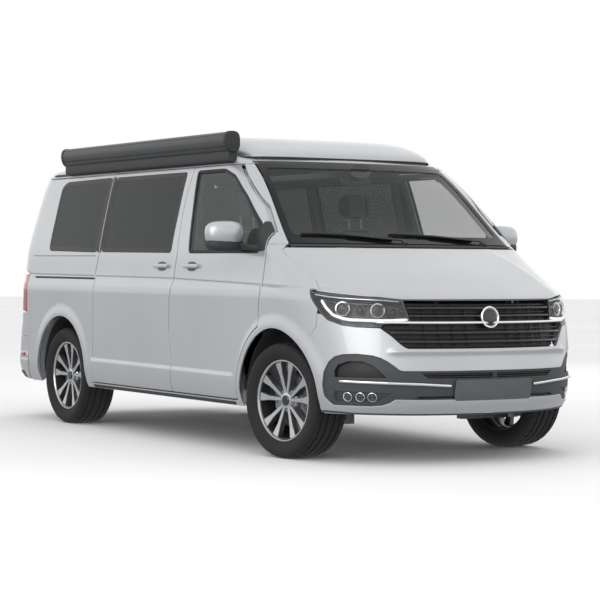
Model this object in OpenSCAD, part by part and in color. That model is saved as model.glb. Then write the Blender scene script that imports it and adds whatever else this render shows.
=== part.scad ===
// Camper van with a lifting roof. Millimetres, +Z up, standing on z = 0.
// The van faces -Y; +X is its left side and -X its right side.

/* [Overall] */
// Length over the bumpers
length = 4904; // [4700:1:5900]
// Width of the body at the doors
body_w = 1904; // [1800:1:2300]
// Height over the closed lifting roof
height = 1990; // [1900:1:2400]
// Distance between the axles
wheelbase = 3000; // [2900:1:3400]
// Front axle behind the front bumper
front_overhang = 908; // [880:1:1000]

/* [Body heights] */
// Underside of the sills and bumpers
sill_z = 280; // [220:1:320]
// Most forward line of the front bumper
lip_z = 520; // [460:1:560]
// Front edge of the bonnet
bonnet_z = 948; // [900:1:980]
// Pressed line along the sides
crease_z = 1010; // [990:1:1040]
// Lower edge of the side windows
belt_z = 1215; // [1180:1:1250]
// Foot of the windscreen
cowl_z = 1270; // [1250:1:1300]
// Top of the fixed roof below the top of the lifting roof
roof_drop = 148; // [120:1:180]
// Side rails below the top of the fixed roof
rail_drop = 72; // [60:1:90]
// Sides lean in by this much at the rails
tumblehome = 150; // [100:1:190]

/* [Body walls] */
// Thickness of the side walls, doors and tailgate
wall_t = 60; // [50:1:75]
// Depth of the outer leaf of a door
leaf_t = 22; // [16:1:28]
// Width of the frame that a door closes on
frame_w = 44; // [36:1:50]
// Shut line round a moving panel
panel_gap = 7; // [6:0.5:9]
// Seam between two fixed panels, and gap of a closed door to its seal
seam = 0.4; // [0.3:0.1:0.8]
// Thickness of the window glass
glass_t = 6; // [4:0.5:8]
// Thickness of the front wings
wing_t = 10; // [6:1:14]
// Thickness of the bumper skins
bumper_t = 34; // [24:1:44]
// Thickness of the bonnet
bonnet_t = 26; // [18:1:34]
// Radius of the wheel arches
arch_r = 405; // [395:1:440]
// Centre of a wheel arch above the wheel centre
arch_lift = 22; // [10:1:30]

/* [Doors and windows] */
// Front door hinge line behind the front axle
hinge_back = 139; // [120:1:160]
// Rear edge of the front door behind the front axle
door_end = 1320; // [1250:1:1400]
// Rear edge of the sliding door behind the front door
slider_l = 1152; // [1050:1:1200]
// Rear edge of the last side window ahead of the rear bumper
quarter_end = 712; // [600:1:800]
// Width of the tailgate at the rear lamps
tailgate_w = 1580; // [1500:1:1600]
// Lower edge of the tailgate
tailgate_z = 610; // [560:1:650]

/* [Wheels] */
// Outer radius of the tyres
tyre_r = 341; // [330:1:348]
// Width of the tyres
tyre_w = 255; // [215:1:265]
// Radius of the rim flanges
rim_r = 244; // [228:1:256]
// Wheel faces inside the body sides
wheel_inset = 24; // [15:1:40]
// Front wheels turned to the left as the van stands
steer_rest = 8; // [0:1:10]
// Kingpin inboard of the middle of the tyre
kingpin_in = 60; // [40:1:80]
// Radius of the wheel spindles
spindle_r = 15; // [12:1:18]
// Radial clearance of each spindle in its hub
spindle_gap = 0.05; // [0.02:0.01:0.1]

/* [Lifting roof and awning] */
// Width of the lifting roof
pop_w = 1420; // [1340:1:1460]
// Wall of the lifting roof
pop_t = 38; // [28:1:48]
// Lifting roof ahead of the rear bumper
pop_end = 560; // [480:1:700]
// Width of the hatch through the fixed roof
hatch_w = 1080; // [900:1:1160]
// Length of the hatch through the fixed roof
hatch_l = 1900; // [1500:1:2000]
// Length of the awning case
awning_l = 2460; // [2200:1:2600]
// Width and height of the awning case
awning_w = 104; // [90:1:120]
awning_h = 128; // [110:1:140]

/* [Cabin] */
// Upper face of the cabin floor
floor_z = 440; // [420:1:460]
// Thickness of the floor
floor_t = 60; // [40:1:80]
// Front seats out from the centre line
seat_x = 420; // [390:1:440]
// Front seat cushions behind the front axle
seat_back = 900; // [850:1:960]
// Height of the front seat cushions
seat_z = 830; // [780:1:860]
// Radius of the steering wheel
steer_r = 190; // [170:1:200]

/* [Hidden] */

$fn = 48;
far = 3000;
y_front = -length / 2;
y_rear = length / 2;
half_w = body_w / 2;
axle_f = y_front + front_overhang;
axle_r = axle_f + wheelbase;
axle_z = tyre_r;
arch_z = axle_z + arch_lift;
roof_z = height - roof_drop;
rail_z = roof_z - rail_drop;
cowl_y = y_front + 850;
header_y = y_front + 1505;
hinge_y = axle_f + hinge_back;
b_y = axle_f + door_end;
c_y = b_y + slider_l;
frame_in = frame_w - panel_gap;
wheel_x = half_w - wheel_inset - tyre_w / 2;
kingpin_x = wheel_x - kingpin_in;

// Smooth curve through hand-set [z, value] keys, with no overshoot between them
function slope(a, b) = a * b <= 0 ? 0 : 2 * a * b / (a + b);
function key_index(z, k, i) = i >= len(k) - 2 || z < k[i + 1][0] ? i : key_index(z, k, i + 1);
function rise(k, i) = (k[i + 1][1] - k[i][1]) / (k[i + 1][0] - k[i][0]);
function along(z, k) =
    let (
        i = key_index(z, k, 0),
        h = k[i + 1][0] - k[i][0],
        t = min(1, max(0, (z - k[i][0]) / h)),
        m1 = h * slope(rise(k, max(i - 1, 0)), rise(k, i)),
        m2 = h * slope(rise(k, i), rise(k, min(i + 1, len(k) - 2)))
    )
    k[i][1] * (2 * t ^ 3 - 3 * t ^ 2 + 1) + m1 * (t ^ 3 - 2 * t ^ 2 + t)
    + k[i + 1][1] * (3 * t ^ 2 - 2 * t ^ 3) + m2 * (t ^ 3 - t ^ 2);

// Half width of the body at each height
side_keys = [
    [sill_z, half_w - 36], [sill_z + 50, half_w - 12], [sill_z + 170, half_w],
    [crease_z - 70, half_w], [crease_z - 20, half_w - 3], [crease_z + 20, half_w - 16],
    [belt_z, half_w - 30], [(belt_z + rail_z) / 2, half_w - 20 - 0.42 * tumblehome],
    [rail_z - 60, half_w - 0.9 * tumblehome], [rail_z, half_w - tumblehome - 6],
    [rail_z + 0.45 * rail_drop, half_w - tumblehome - 26],
    [rail_z + 0.8 * rail_drop, half_w - tumblehome - 62], [roof_z, half_w - tumblehome - 120]
];
// Centre line of the nose, bonnet, windscreen and roof
nose_keys = [
    [sill_z, y_front + 80], [sill_z + 50, y_front + 36], [sill_z + 140, y_front + 8],
    [lip_z, y_front], [lip_z + 100, y_front + 16], [lip_z + 300, y_front + 60],
    [bonnet_z, y_front + 100], [bonnet_z + 20, y_front + 128], [bonnet_z + 52, y_front + 190],
    [bonnet_z + 152, y_front + 400], [cowl_z - 25, cowl_y - 72], [cowl_z, cowl_y],
    [rail_z + 22, header_y], [rail_z + 0.7 * rail_drop, header_y + 80], [roof_z, header_y + 190]
];
// Where the nose starts to round in from the sides, and how square that round is
nose_start_keys = [
    [sill_z, y_front + 900], [bonnet_z, y_front + 900], [bonnet_z + 102, y_front + 980],
    [cowl_z, cowl_y + 262], [rail_z, header_y + 205], [roof_z, header_y + 380]
];
nose_power_keys = [[sill_z, 2.4], [bonnet_z, 2.4], [cowl_z, 2.2], [roof_z, 2.2]];
// Centre line of the tail
tail_keys = [
    [sill_z, y_rear - 90], [sill_z + 60, y_rear - 22], [sill_z + 160, y_rear],
    [tailgate_z, y_rear - 14], [tailgate_z + 120, y_rear - 40], [belt_z, y_rear - 66],
    [(belt_z + rail_z) / 2, y_rear - 120], [rail_z, y_rear - 190],
    [rail_z + 0.7 * rail_drop, y_rear - 230], [roof_z, y_rear - 300]
];
tail_round = 430;
tail_power = 3.4;

function between(a, b, n) = [for (i = [0 : n - 1]) a + (b - a) * i / n];
levels = concat(
    between(sill_z, lip_z, 5), between(lip_z, bonnet_z, 5), between(bonnet_z, cowl_z, 9),
    between(cowl_z, rail_z, 5), between(rail_z, roof_z, 4), [roof_z]
);

// A quarter round of the plan outline: powers over 2 make it squarer than an ellipse
function quarter(cx, cy, rx, ry, power, n) = [
    for (i = [0 : n])
        [cx + rx * sin(90 * i / n) ^ (2 / power), cy + ry * cos(90 * i / n) ^ (2 / power)]
];
function half_outline(z, off) =
    let (
        w = along(z, side_keys) - off,
        start = along(z, nose_start_keys),
        tail = along(z, tail_keys)
    )
    concat(
        quarter(0, start, w, along(z, nose_keys) + off - start, along(z, nose_power_keys), 8),
        [for (p = quarter(0, tail - tail_round, w, tail_round - off, tail_power, 5)) [-p[0], p[1]]]
    );
function mirrored(points) = [for (p = points) [-p[0], p[1]]];
function outline(z, off) = concat(half_outline(z, off), mirrored(half_outline(z, off)));

// The body's outer form less an even offset, between two heights
module form(off, low = 0, high = far) {
    for (i = [0 : len(levels) - 2])
        if (levels[i + 1] > low && levels[i] < high)
            hull() {
                slice(levels[i], off);
                slice(levels[i + 1], off);
            }
}
module slice(z, off) {
    points = [for (p = outline(z, off)) [p[0], p[1], z]];
    polyhedron(points, [[for (i = [0 : len(points) - 1]) i]]);
}
// The layer of the body between two offsets
module layer(outer, inner, low = 0, high = far) {
    difference() {
        form(outer, low, high);
        form(inner, low, high);
    }
}

// Cutting prisms: a drawing seen from the side, from the front or from above
module from_side(inboard = 200) {
    rotate([90, 0, 90])
        translate([0, 0, inboard])
            linear_extrude(far)
                children();
}
module from_front(y0, y1) {
    translate([0, y1, 0])
        rotate([90, 0, 0])
            linear_extrude(y1 - y0)
                children();
}
module both_ways() {
    children();
    mirror([1, 0]) children();
}
module both_sides() {
    children();
    mirror([1, 0, 0]) children();
}
module on_side(side) {
    mirror([side < 0 ? 1 : 0, 0, 0]) children();
}
module grown(by) {
    offset(delta = by) children();
}

// Drawings of the panels, with y along the van
module arch_circle(axle, r) {
    translate([axle, arch_z])
        circle(r);
}
module door_drawing() {
    difference() {
        polygon([
            [hinge_y + 4, belt_z - 30], [hinge_y + 10, belt_z - 90], [hinge_y + 44, crease_z - 145],
            [hinge_y + 74, arch_z + 407], [axle_f + arch_r, arch_z], [axle_f + arch_r, sill_z + 40],
            [b_y - 24, sill_z + 40], [b_y - 22, crease_z - 520], [b_y + 16, crease_z - 300],
            [b_y + 12, crease_z - 110], [b_y - 18, crease_z + 30], [b_y - 46, belt_z],
            [b_y - 28, belt_z + 0.4 * (rail_z - belt_z)], [b_y - 34, belt_z + 0.7 * (rail_z - belt_z)],
            [b_y - 60, rail_z], [header_y + 118, rail_z], [cowl_y + 611, rail_z - 115],
            [cowl_y + 400, cowl_z + 229], [hinge_y + 31, cowl_z + 66], [hinge_y + 12, belt_z + 30]
        ]);
        arch_circle(axle_f, arch_r + 42);
    }
}
module slider_drawing() {
    polygon([
        [b_y - 24, sill_z + 40], [b_y - 22, crease_z - 520], [b_y + 16, crease_z - 300],
        [b_y + 12, crease_z - 110], [b_y - 18, crease_z + 30], [b_y - 46, belt_z],
        [b_y - 28, belt_z + 0.4 * (rail_z - belt_z)], [b_y - 34, belt_z + 0.7 * (rail_z - belt_z)],
        [b_y - 60, rail_z], [c_y - 40, rail_z], [c_y - 40, belt_z], [c_y, belt_z - 130],
        [c_y, sill_z + 40]
    ]);
}
window_top = rail_z - 30;
module rounded(r) {
    offset(r, $fn = 24) offset(-r, $fn = 24) children();
}
module door_window() {
    rounded(14)
        polygon([
            [b_y - 206, belt_z], [b_y - 120, window_top], [header_y + 247, window_top],
            [header_y + 97, window_top - 45], [cowl_y + 540, window_top - 182],
            [cowl_y + 316, cowl_z + 112], [hinge_y + 88, belt_z]
        ]);
}
module slider_window() {
    rounded(22)
        polygon([
            [b_y + 38, belt_z], [b_y + 20, window_top], [c_y - 84, window_top], [c_y - 66, belt_z + 8]
        ]);
}
module quarter_window() {
    rounded(26)
        polygon([
            [c_y + 2, belt_z + 8], [c_y - 22, window_top], [y_rear - quarter_end - 90, window_top - 8],
            [y_rear - quarter_end - 20, window_top - 44], [y_rear - quarter_end, belt_z + 22]
        ]);
}
// Drawings seen from the front, right half
module windscreen_drawing(by) {
    offset(delta = by)
        polygon([
            [-half_w + 151, cowl_z + 2], [half_w - 151, cowl_z + 2],
            [half_w - 266, rail_z + 21], [-half_w + 266, rail_z + 21]
        ]);
}
module headlight_drawing(by) {
    both_ways()
        offset(delta = by)
            polygon([
                [500, bonnet_z - 2], [660, bonnet_z + 14], [800, bonnet_z + 40], [half_w, bonnet_z + 54],
                [half_w, bonnet_z - 98], [half_w - 80, bonnet_z - 150], [730, bonnet_z - 160],
                [620, bonnet_z - 134], [500, bonnet_z - 126]
            ]);
}
module grille_drawing(by) {
    offset(delta = by)
        polygon([
            [-524, bonnet_z - 280], [524, bonnet_z - 280], [498, bonnet_z - 128], [498, bonnet_z - 4],
            [-498, bonnet_z - 4], [-498, bonnet_z - 128]
        ]);
}
// Drawing of the bonnet seen from above
module bonnet_drawing(by) {
    offset(delta = by)
        both_ways()
            polygon([
                [0, y_front - 50], [690, y_front - 50], [half_w - 212, y_front + 340],
                [half_w - 152, y_front + 650], [half_w - 126, cowl_y + 100], [0, cowl_y + 100]
            ]);
}
bonnet_low = bonnet_z + 8;
bonnet_high = cowl_z - 25;
module bonnet_front(by) {
    offset(delta = by)
        both_ways()
            polygon([
                [0, bonnet_low], [500, bonnet_low], [660, bonnet_low + 14], [800, bonnet_low + 40],
                [half_w, bonnet_low + 54], [half_w, bonnet_high], [0, bonnet_high]
            ]);
}
// Drawings seen from behind
lamp_low = crease_z - 230;
lamp_high = crease_z + 55;
lamp_y = y_rear - 390;
module tailgate_drawing(by) {
    offset(delta = by)
        both_ways()
            polygon([
                [0, tailgate_z], [tailgate_w / 2 - 20, tailgate_z], [tailgate_w / 2, lamp_low],
                [tailgate_w / 2, lamp_high], [tailgate_w / 2 - 10, belt_z],
                [half_w - tumblehome - 112, rail_z - 10], [0, rail_z - 10]
            ]);
}
module tailgate_window(by) {
    offset(delta = by)
        rounded(30)
            both_ways()
                polygon([
                    [-1, belt_z + 20], [tailgate_w / 2 - 70, belt_z + 20],
                    [half_w - tumblehome - 165, rail_z - 90], [-1, rail_z - 90]
                ]);
}
module lamp_box(by) {
    translate([tailgate_w / 2 - by + 2, lamp_y - by, lamp_low - by])
        cube([400, 800, lamp_high - lamp_low + 2 * by]);
}
module arches(r, x_in) {
    for (axle = [axle_f, axle_r])
        translate([x_in, axle, arch_z])
            rotate([0, 90, 0])
                cylinder(far, r = r);
}
rear_split = y_rear - 330;
sill_top = floor_z - floor_t;

bumper_y = axle_f - 386;
rear_bumper_y = y_rear - 420;
wing_top = cowl_z - 8;

// Outer leaf of a panel, or the recess it sits in
module leaf(depth, low = sill_z, high = rail_z) {
    intersection() {
        layer(-20, depth, low, high);
        children();
    }
}
module wing_zone() {
    difference() {
        translate([bumper_y, sill_z - 5])
            square([axle_f + arch_r + 41 - bumper_y, wing_top - sill_z + 5]);
        translate([bumper_y - 10, 0])
            square([axle_f - bumper_y, arch_z + arch_r / 2]);
        grown(panel_gap) door_drawing();
    }
}
// Recess and opening that a door closes
module door_holes() {
    leaf(leaf_t + seam)
        from_side()
            for (i = [0 : $children - 1])
                grown(panel_gap / 2) children(i);
    from_side()
        for (i = [0 : $children - 1])
            grown(-frame_in) children(i);
}
module tailgate_hole() {
    leaf(leaf_t + seam)
        from_front(rear_split, y_rear + 60) tailgate_drawing(panel_gap / 2);
    from_front(rear_split, y_rear + 60) tailgate_drawing(-frame_in);
}
// One wall of the body as the left side, with its pillars, sill and rear corner
module body_side(slides) {
    color("silver")
        difference() {
            layer(0, wall_t, sill_z, rail_z);
            translate([-far, -far, 0])
                cube([far, 2 * far, far]);
            from_side(-1)
                polygon([
                    [-far, 0], [axle_f + arch_r + 20, 0], [axle_f + arch_r + 20, arch_z],
                    [hinge_y - 60, arch_z + arch_r + 30], [hinge_y - 60, wing_top - 60],
                    [cowl_y + 130, wing_top], [cowl_y - 100, cowl_z + 4], [header_y, far], [-far, far]
                ]);
            leaf(wing_t + seam)
                from_side() wing_zone();
            if (slides)
                door_holes() {
                    door_drawing();
                    slider_drawing();
                }
            else
                door_holes() door_drawing();
            from_side() {
                quarter_window();
                if (!slides)
                    slider_window();
            }
            from_side()
                intersection() {
                    grown(panel_gap / 2) door_drawing();
                    translate([hinge_y, belt_z + 40])
                        square([310, 320]);
                }
            from_front(y_front, header_y + 260) windscreen_drawing(0);
            translate([0, -far, 0])
                cube([half_w - 155, far + firewall_y + firewall_t, cowl_z + 2]);
            translate([0, 0, rail_z - 12])
                cube([half_w - tumblehome - 90, far, 40]);
            tailgate_hole();
            intersection() {
                from_front(rear_split, y_rear + 60) tailgate_drawing(panel_gap / 2);
                translate([tailgate_w / 2 - 350, rear_split, rail_z - 84])
                    cube([far, far, far]);
            }
            lamp_box(0);
            leaf(30 + seam)
                translate([0, rear_bumper_y, sill_z - 5])
                    cube([far, far, tailgate_z - panel_gap - sill_z + 5 + seam]);
            arches(arch_r, 200);
        }
}
module body_side_left() {
    body_side(false);
}
module body_side_right() {
    on_side(-1) body_side(true);
}

// Fixed roof: the rails, the windscreen header and the rear header round the hatch
hatch_y = header_y + 420;
module roof_frame() {
    color("silver")
        difference() {
            form(0, rail_z, roof_z);
            translate([-hatch_w / 2, hatch_y, 0])
                cube([hatch_w, hatch_l, far]);
            translate([-half_w + tumblehome + 70, header_y + 190, 0])
                cube([2 * (half_w - tumblehome - 70), y_rear - 420 - header_y - 190, roof_z - 30]);
            from_front(y_front, header_y + 260) windscreen_drawing(0);
            translate([-far / 2, -far, 0])
                cube([far, 2 * far, rail_z]);
        }
}

// Floor with the inner rear wheel arches
arch_skin = 6;
arch_gap = 8;
rear_arch_x = wheel_x - tyre_w / 2 - 30;
module wheelhouse(axle, x_in) {
    difference() {
        translate([x_in - arch_skin, axle, arch_z])
            rotate([0, 90, 0])
                cylinder(half_w - x_in, r = arch_r + arch_gap + arch_skin);
        translate([x_in, axle, arch_z])
            rotate([0, 90, 0])
                cylinder(far, r = arch_r + arch_gap);
    }
}
module floor_pan() {
    color("dimgray")
        both_sides()
            difference() {
                intersection() {
                    form(wall_t + seam, sill_z, rail_z);
                    union() {
                        translate([0, firewall_y + firewall_t + seam, sill_top])
                            cube([far, y_rear - 130 - firewall_y - firewall_t, floor_t]);
                        translate([0, 0, sill_top])
                            intersection() {
                                translate([0, 0, -sill_top]) wheelhouse(axle_r, rear_arch_x);
                                cube([far, far, 800]);
                            }
                    }
                }
                translate([rear_arch_x, axle_r, arch_z])
                    rotate([0, 90, 0])
                        cylinder(far, r = arch_r + arch_gap);
                translate([front_arch_x - arch_skin - seam, axle_f, arch_z])
                    rotate([0, 90, 0])
                        cylinder(far, r = arch_r + arch_gap + arch_skin + seam);
            }
}

// Firewall, front wheel arches, chassis legs, radiator frame and cowl tray
firewall_t = 40;
firewall_y = axle_f + 190;
front_arch_x = 488;
leg_x = 400;
nose_beam_y = y_front + 170;
module front_structure() {
    color("dimgray")
        both_sides() {
            difference() {
                union() {
                    intersection() {
                        form(wall_t + seam, sill_z, cowl_z);
                        translate([0, firewall_y, sill_top])
                            cube([far, firewall_t, bonnet_high - 20 - sill_top]);
                    }
                    translate([leg_x, nose_beam_y + 5, sill_top - 20])
                        cube([70, firewall_y - nose_beam_y, 90]);
                    intersection() {
                        form(bumper_t + 4 + seam, sill_z, bonnet_z);
                        translate([-1, nose_beam_y, sill_top - 25])
                            cube([leg_x + 86, 40, bonnet_z - sill_top - 45]);
                    }
                    translate([leg_x - 110, nose_beam_y + 20, bonnet_z - 90])
                        cylinder(90 + bonnet_low + panel_gap / 2 - seam - bonnet_z, r = 14, $fn = 16);
                    intersection() {
                        form(seam, bonnet_high, cowl_z);
                        translate([-1, -far, bonnet_high + panel_gap])
                            cube([half_w - 160, far + firewall_y + 30, cowl_z - 4 - bonnet_high - panel_gap]);
                    }
                    translate([-1, firewall_y + 5, bonnet_high - 60])
                        cube([half_w - 165, firewall_t - 10, 60 + panel_gap + 4]);
                }
                translate([front_arch_x - arch_skin / 2, axle_f, arch_z])
                    rotate([0, 90, 0])
                        cylinder(far, r = arch_r + arch_gap + arch_skin / 2);
            }
            intersection() {
                form(wall_t + seam, sill_z, cowl_z);
                wheelhouse(axle_f, front_arch_x);
            }
        }
}

// Outer panels of the nose
module front_wings() {
    color("silver")
        both_sides()
            difference() {
                intersection() {
                    layer(0, wing_t, sill_z, cowl_z);
                    from_side() wing_zone();
                }
                translate([0, 0, bonnet_low])
                    linear_extrude(far) bonnet_drawing(panel_gap / 2);
                translate([0, -far, bonnet_high - 20])
                    cube([half_w - 155 - seam, 2 * far, far]);
                arches(arch_r, 200);
            }
}
module front_bumper() {
    color("silver")
        difference() {
            layer(0, bumper_t, sill_z, bonnet_z);
            translate([-far, bumper_y - seam, 0])
                cube([2 * far, far * 2, far]);
            from_front(y_front - 60, bumper_y + 60) grille_drawing(0);
            from_front(y_front - 60, bumper_y + 60) headlight_drawing(0);
            translate([-far, -far, bonnet_z - 4])
                cube([2 * far, 2 * far, far]);
            both_sides() arches(arch_r, 200);
        }
}
module grille() {
    color("darkslategray")
        intersection() {
            layer(6, bumper_t + 4, sill_z, bonnet_z);
            from_front(y_front - 60, bumper_y) grille_drawing(-seam);
        }
}
module headlights() {
    color("whitesmoke")
        intersection() {
            layer(0, 80, sill_z, cowl_z);
            from_front(y_front - 60, bumper_y - seam) headlight_drawing(-seam);
        }
}
module windscreen() {
    color([0.2, 0.3, 0.3, 0.5])
        intersection() {
            layer(1, 1 + 1.6 * glass_t, cowl_z, roof_z);
            from_front(y_front, header_y + 200) windscreen_drawing(-seam);
        }
}
module bonnet() {
    color("silver")
        intersection() {
            difference() {
                form(0, bonnet_z, cowl_z);
                translate([0, 0, -bonnet_t]) form(8, bonnet_z, cowl_z);
            }
            from_front(y_front - 60, cowl_y + 300) bonnet_front(-panel_gap / 2);
            linear_extrude(far)
                difference() {
                    bonnet_drawing(-panel_gap / 2);
                    both_ways()
                        polygon([
                            [-1, cowl_y - 76], [250, cowl_y - 68], [450, cowl_y - 43], [600, cowl_y - 10],
                            [700, cowl_y + 23], [800, cowl_y + 73], [half_w, cowl_y + 170], [-1, cowl_y + 170]
                        ]);
                }
        }
}

// Doors: an outer leaf over the frame and an inner leaf inside it
module door_shell() {
    intersection() {
        layer(0, leaf_t, sill_z, rail_z);
        from_side() grown(-panel_gap / 2) children();
    }
    intersection() {
        layer(leaf_t - 1, wall_t, sill_z, rail_z);
        from_side() grown(-frame_w) children();
    }
}
module door_left() {
    color("silver")
        difference() {
            door_shell() door_drawing();
            from_side() door_window();
        }
}
module door_right() {
    on_side(-1) door_left();
}
module door_glass_left() {
    color([0.2, 0.3, 0.3, 0.5])
        intersection() {
            layer(2, 2 + glass_t, belt_z - 30, rail_z);
            from_side() grown(-seam) door_window();
        }
}
module door_glass_right() {
    on_side(-1) door_glass_left();
}
module sliding_door() {
    color("silver")
        on_side(-1)
            difference() {
                door_shell() slider_drawing();
                from_side() slider_window();
            }
}
module side_windows() {
    color([0.15, 0.2, 0.2, 0.6])
        both_sides() {
            intersection() {
                layer(2, 2 + glass_t, belt_z - 30, rail_z);
                union() {
                    from_side() grown(-seam) slider_window();
                    from_side() grown(-seam) quarter_window();
                }
            }
        }
}
module mirror_left() {
    y0 = hinge_y + 290;
    z0 = belt_z + 90;
    color("silver")
        difference() {
            union() {
                hull() {
                    translate([half_w + 20, y0 - 10, z0 - 10])
                        scale([0.6, 0.9, 1.1]) sphere(78, $fn = 20);
                    translate([half_w + 148, y0 + 14, z0 + 2])
                        scale([0.72, 0.75, 1.15]) sphere(72, $fn = 20);
                }
                hull() {
                    translate([half_w - 70, hinge_y + 26, belt_z - 6])
                        cube([30, 44, 40]);
                    translate([half_w + 14, hinge_y + 110, belt_z + 8])
                        cube([30, 44, 30]);
                }
                hull() {
                    translate([half_w + 14, hinge_y + 110, belt_z + 8])
                        cube([30, 44, 30]);
                    translate([half_w + 20, y0 - 60, z0 - 70])
                        cube([60, 60, 30]);
                }
            }
            form(-seam, belt_z - 60, rail_z);
            translate([half_w - 50, y0 + 46, z0 - 120])
                cube([300, 200, 300]);
        }
}
module mirror_right() {
    on_side(-1) mirror_left();
}

// Tail
module tailgate() {
    color("silver")
        difference() {
            union() {
                intersection() {
                    layer(0, leaf_t, tailgate_z - 20, rail_z);
                    from_front(rear_split, y_rear + 60) tailgate_drawing(-panel_gap / 2);
                }
                intersection() {
                    layer(leaf_t - 1, wall_t, tailgate_z - 20, rail_z);
                    from_front(rear_split, y_rear + 60) tailgate_drawing(-frame_w);
                }
            }
            from_front(rear_split, y_rear + 60) tailgate_window(0);
        }
}
module tailgate_glass() {
    color([0.1, 0.15, 0.15, 0.7])
        intersection() {
            layer(2, 2 + glass_t, belt_z, rail_z);
            from_front(rear_split, y_rear + 60) tailgate_window(-seam);
        }
}
module tail_lights() {
    color("firebrick")
        both_sides()
            intersection() {
                layer(0, 45, crease_z - 260, crease_z + 80);
                lamp_box(-seam);
            }
}
module rear_bumper() {
    color("silver")
        difference() {
            layer(0, 30, sill_z, tailgate_z);
            translate([-far, -far * 2 + rear_bumper_y + seam, 0])
                cube([2 * far, far * 2, far]);
            translate([-far, -far, tailgate_z - panel_gap])
                cube([2 * far, 2 * far, far]);
            both_sides() arches(arch_r, 200);
        }
}

// Lifting roof: its own form, with the front sloping down over the windscreen header
pop_low = roof_z - 34;
pop_rear = y_rear - pop_end;
pop_side_keys = [
    [pop_low, pop_w / 2 + 4], [roof_z + 30, pop_w / 2 - 8], [height - 70, pop_w / 2 - 34],
    [height - 34, pop_w / 2 - 78], [height - 12, pop_w / 2 - 170], [height, pop_w / 2 - 330]
];
pop_nose_keys = [
    [pop_low, header_y + 44], [roof_z - 4, header_y + 58], [height - 84, header_y + 190],
    [height - 40, header_y + 340], [height - 14, header_y + 560], [height, header_y + 900]
];
pop_tail_keys = [
    [pop_low, pop_rear], [roof_z + 30, pop_rear - 14], [height - 50, pop_rear - 70],
    [height - 16, pop_rear - 180], [height, pop_rear - 380]
];
pop_levels = concat(
    between(pop_low, roof_z, 2), between(roof_z, height - 40, 4), between(height - 40, height, 4), [height]
);
module pop_form(off) {
    for (i = [0 : len(pop_levels) - 2])
        hull() {
            pop_slice(pop_levels[i], off);
            pop_slice(pop_levels[i + 1], off);
        }
}
function pop_half(z, off) =
    let (
        w = along(z, pop_side_keys) - off,
        nose = along(z, pop_nose_keys) + off,
        tail = along(z, pop_tail_keys) - off
    )
    concat(
        quarter(0, nose + 330, w, -330, 4, 7),
        [for (p = quarter(0, tail - 260, w, 260, 4, 5)) [-p[0], p[1]]]
    );
module pop_slice(z, off) {
    outline = concat(pop_half(z, off), mirrored(pop_half(z, off)));
    points = [for (p = outline) [p[0], p[1], z]];
    polyhedron(points, [[for (i = [0 : len(points) - 1]) i]]);
}
module pop_top_roof() {
    color("silver")
        difference() {
            pop_form(0);
            translate([0, 0, -pop_t]) pop_form(pop_t);
            translate([0, 0, 6]) form(-6, rail_z, roof_z);
        }
}
// Folded canvas of the lifting roof, a closed wall round the hatch
canvas_t = 6;
module tent_canvas() {
    color("dimgray")
        intersection() {
            translate([-hatch_w / 2 - 20, hatch_y - 20, roof_z + seam])
                difference() {
                    cube([hatch_w + 40, hatch_l + 40, far]);
                    translate([canvas_t, canvas_t, -1])
                        cube([hatch_w + 40 - 2 * canvas_t, hatch_l + 40 - 2 * canvas_t, far]);
                }
            translate([0, 0, -pop_t - seam]) pop_form(pop_t);
        }
}

// Roll-out awning in its case on the right-hand roof rail
awning_x = half_w - tumblehome + 8;
awning_y = header_y + 150;
awning_z = height - 17 - awning_h / 2;
module awning_profile(by) {
    offset(delta = by)
        hull() {
            translate([-awning_w / 2 + 40, awning_h / 2 - 40]) circle(40);
            translate([awning_w / 2 - 46, awning_h / 2 - 46]) circle(46);
            translate([awning_w / 2 - 34, -awning_h / 2 + 34]) circle(34);
            translate([-awning_w / 2 + 20, -awning_h / 2 + 20]) circle(20);
        }
}
module awning() {
    color("dimgray")
        on_side(-1)
            difference() {
                union() {
                    translate([awning_x, awning_y + awning_l - 30, awning_z])
                        rotate([90, 0, 0])
                            linear_extrude(awning_l - 60) awning_profile(0);
                    for (y = [awning_y, awning_y + awning_l - 30])
                        translate([awning_x, y + 30, awning_z])
                            rotate([90, 0, 0])
                                linear_extrude(30) awning_profile(3);
                    for (i = [0 : 2])
                        translate([awning_x - 50, awning_y + 180 + i * (awning_l - 440) / 2, rail_z])
                            cube([40, 80, awning_z - rail_z]);
                }
                form(-seam, rail_z - 80, roof_z);
            }
}

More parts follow.
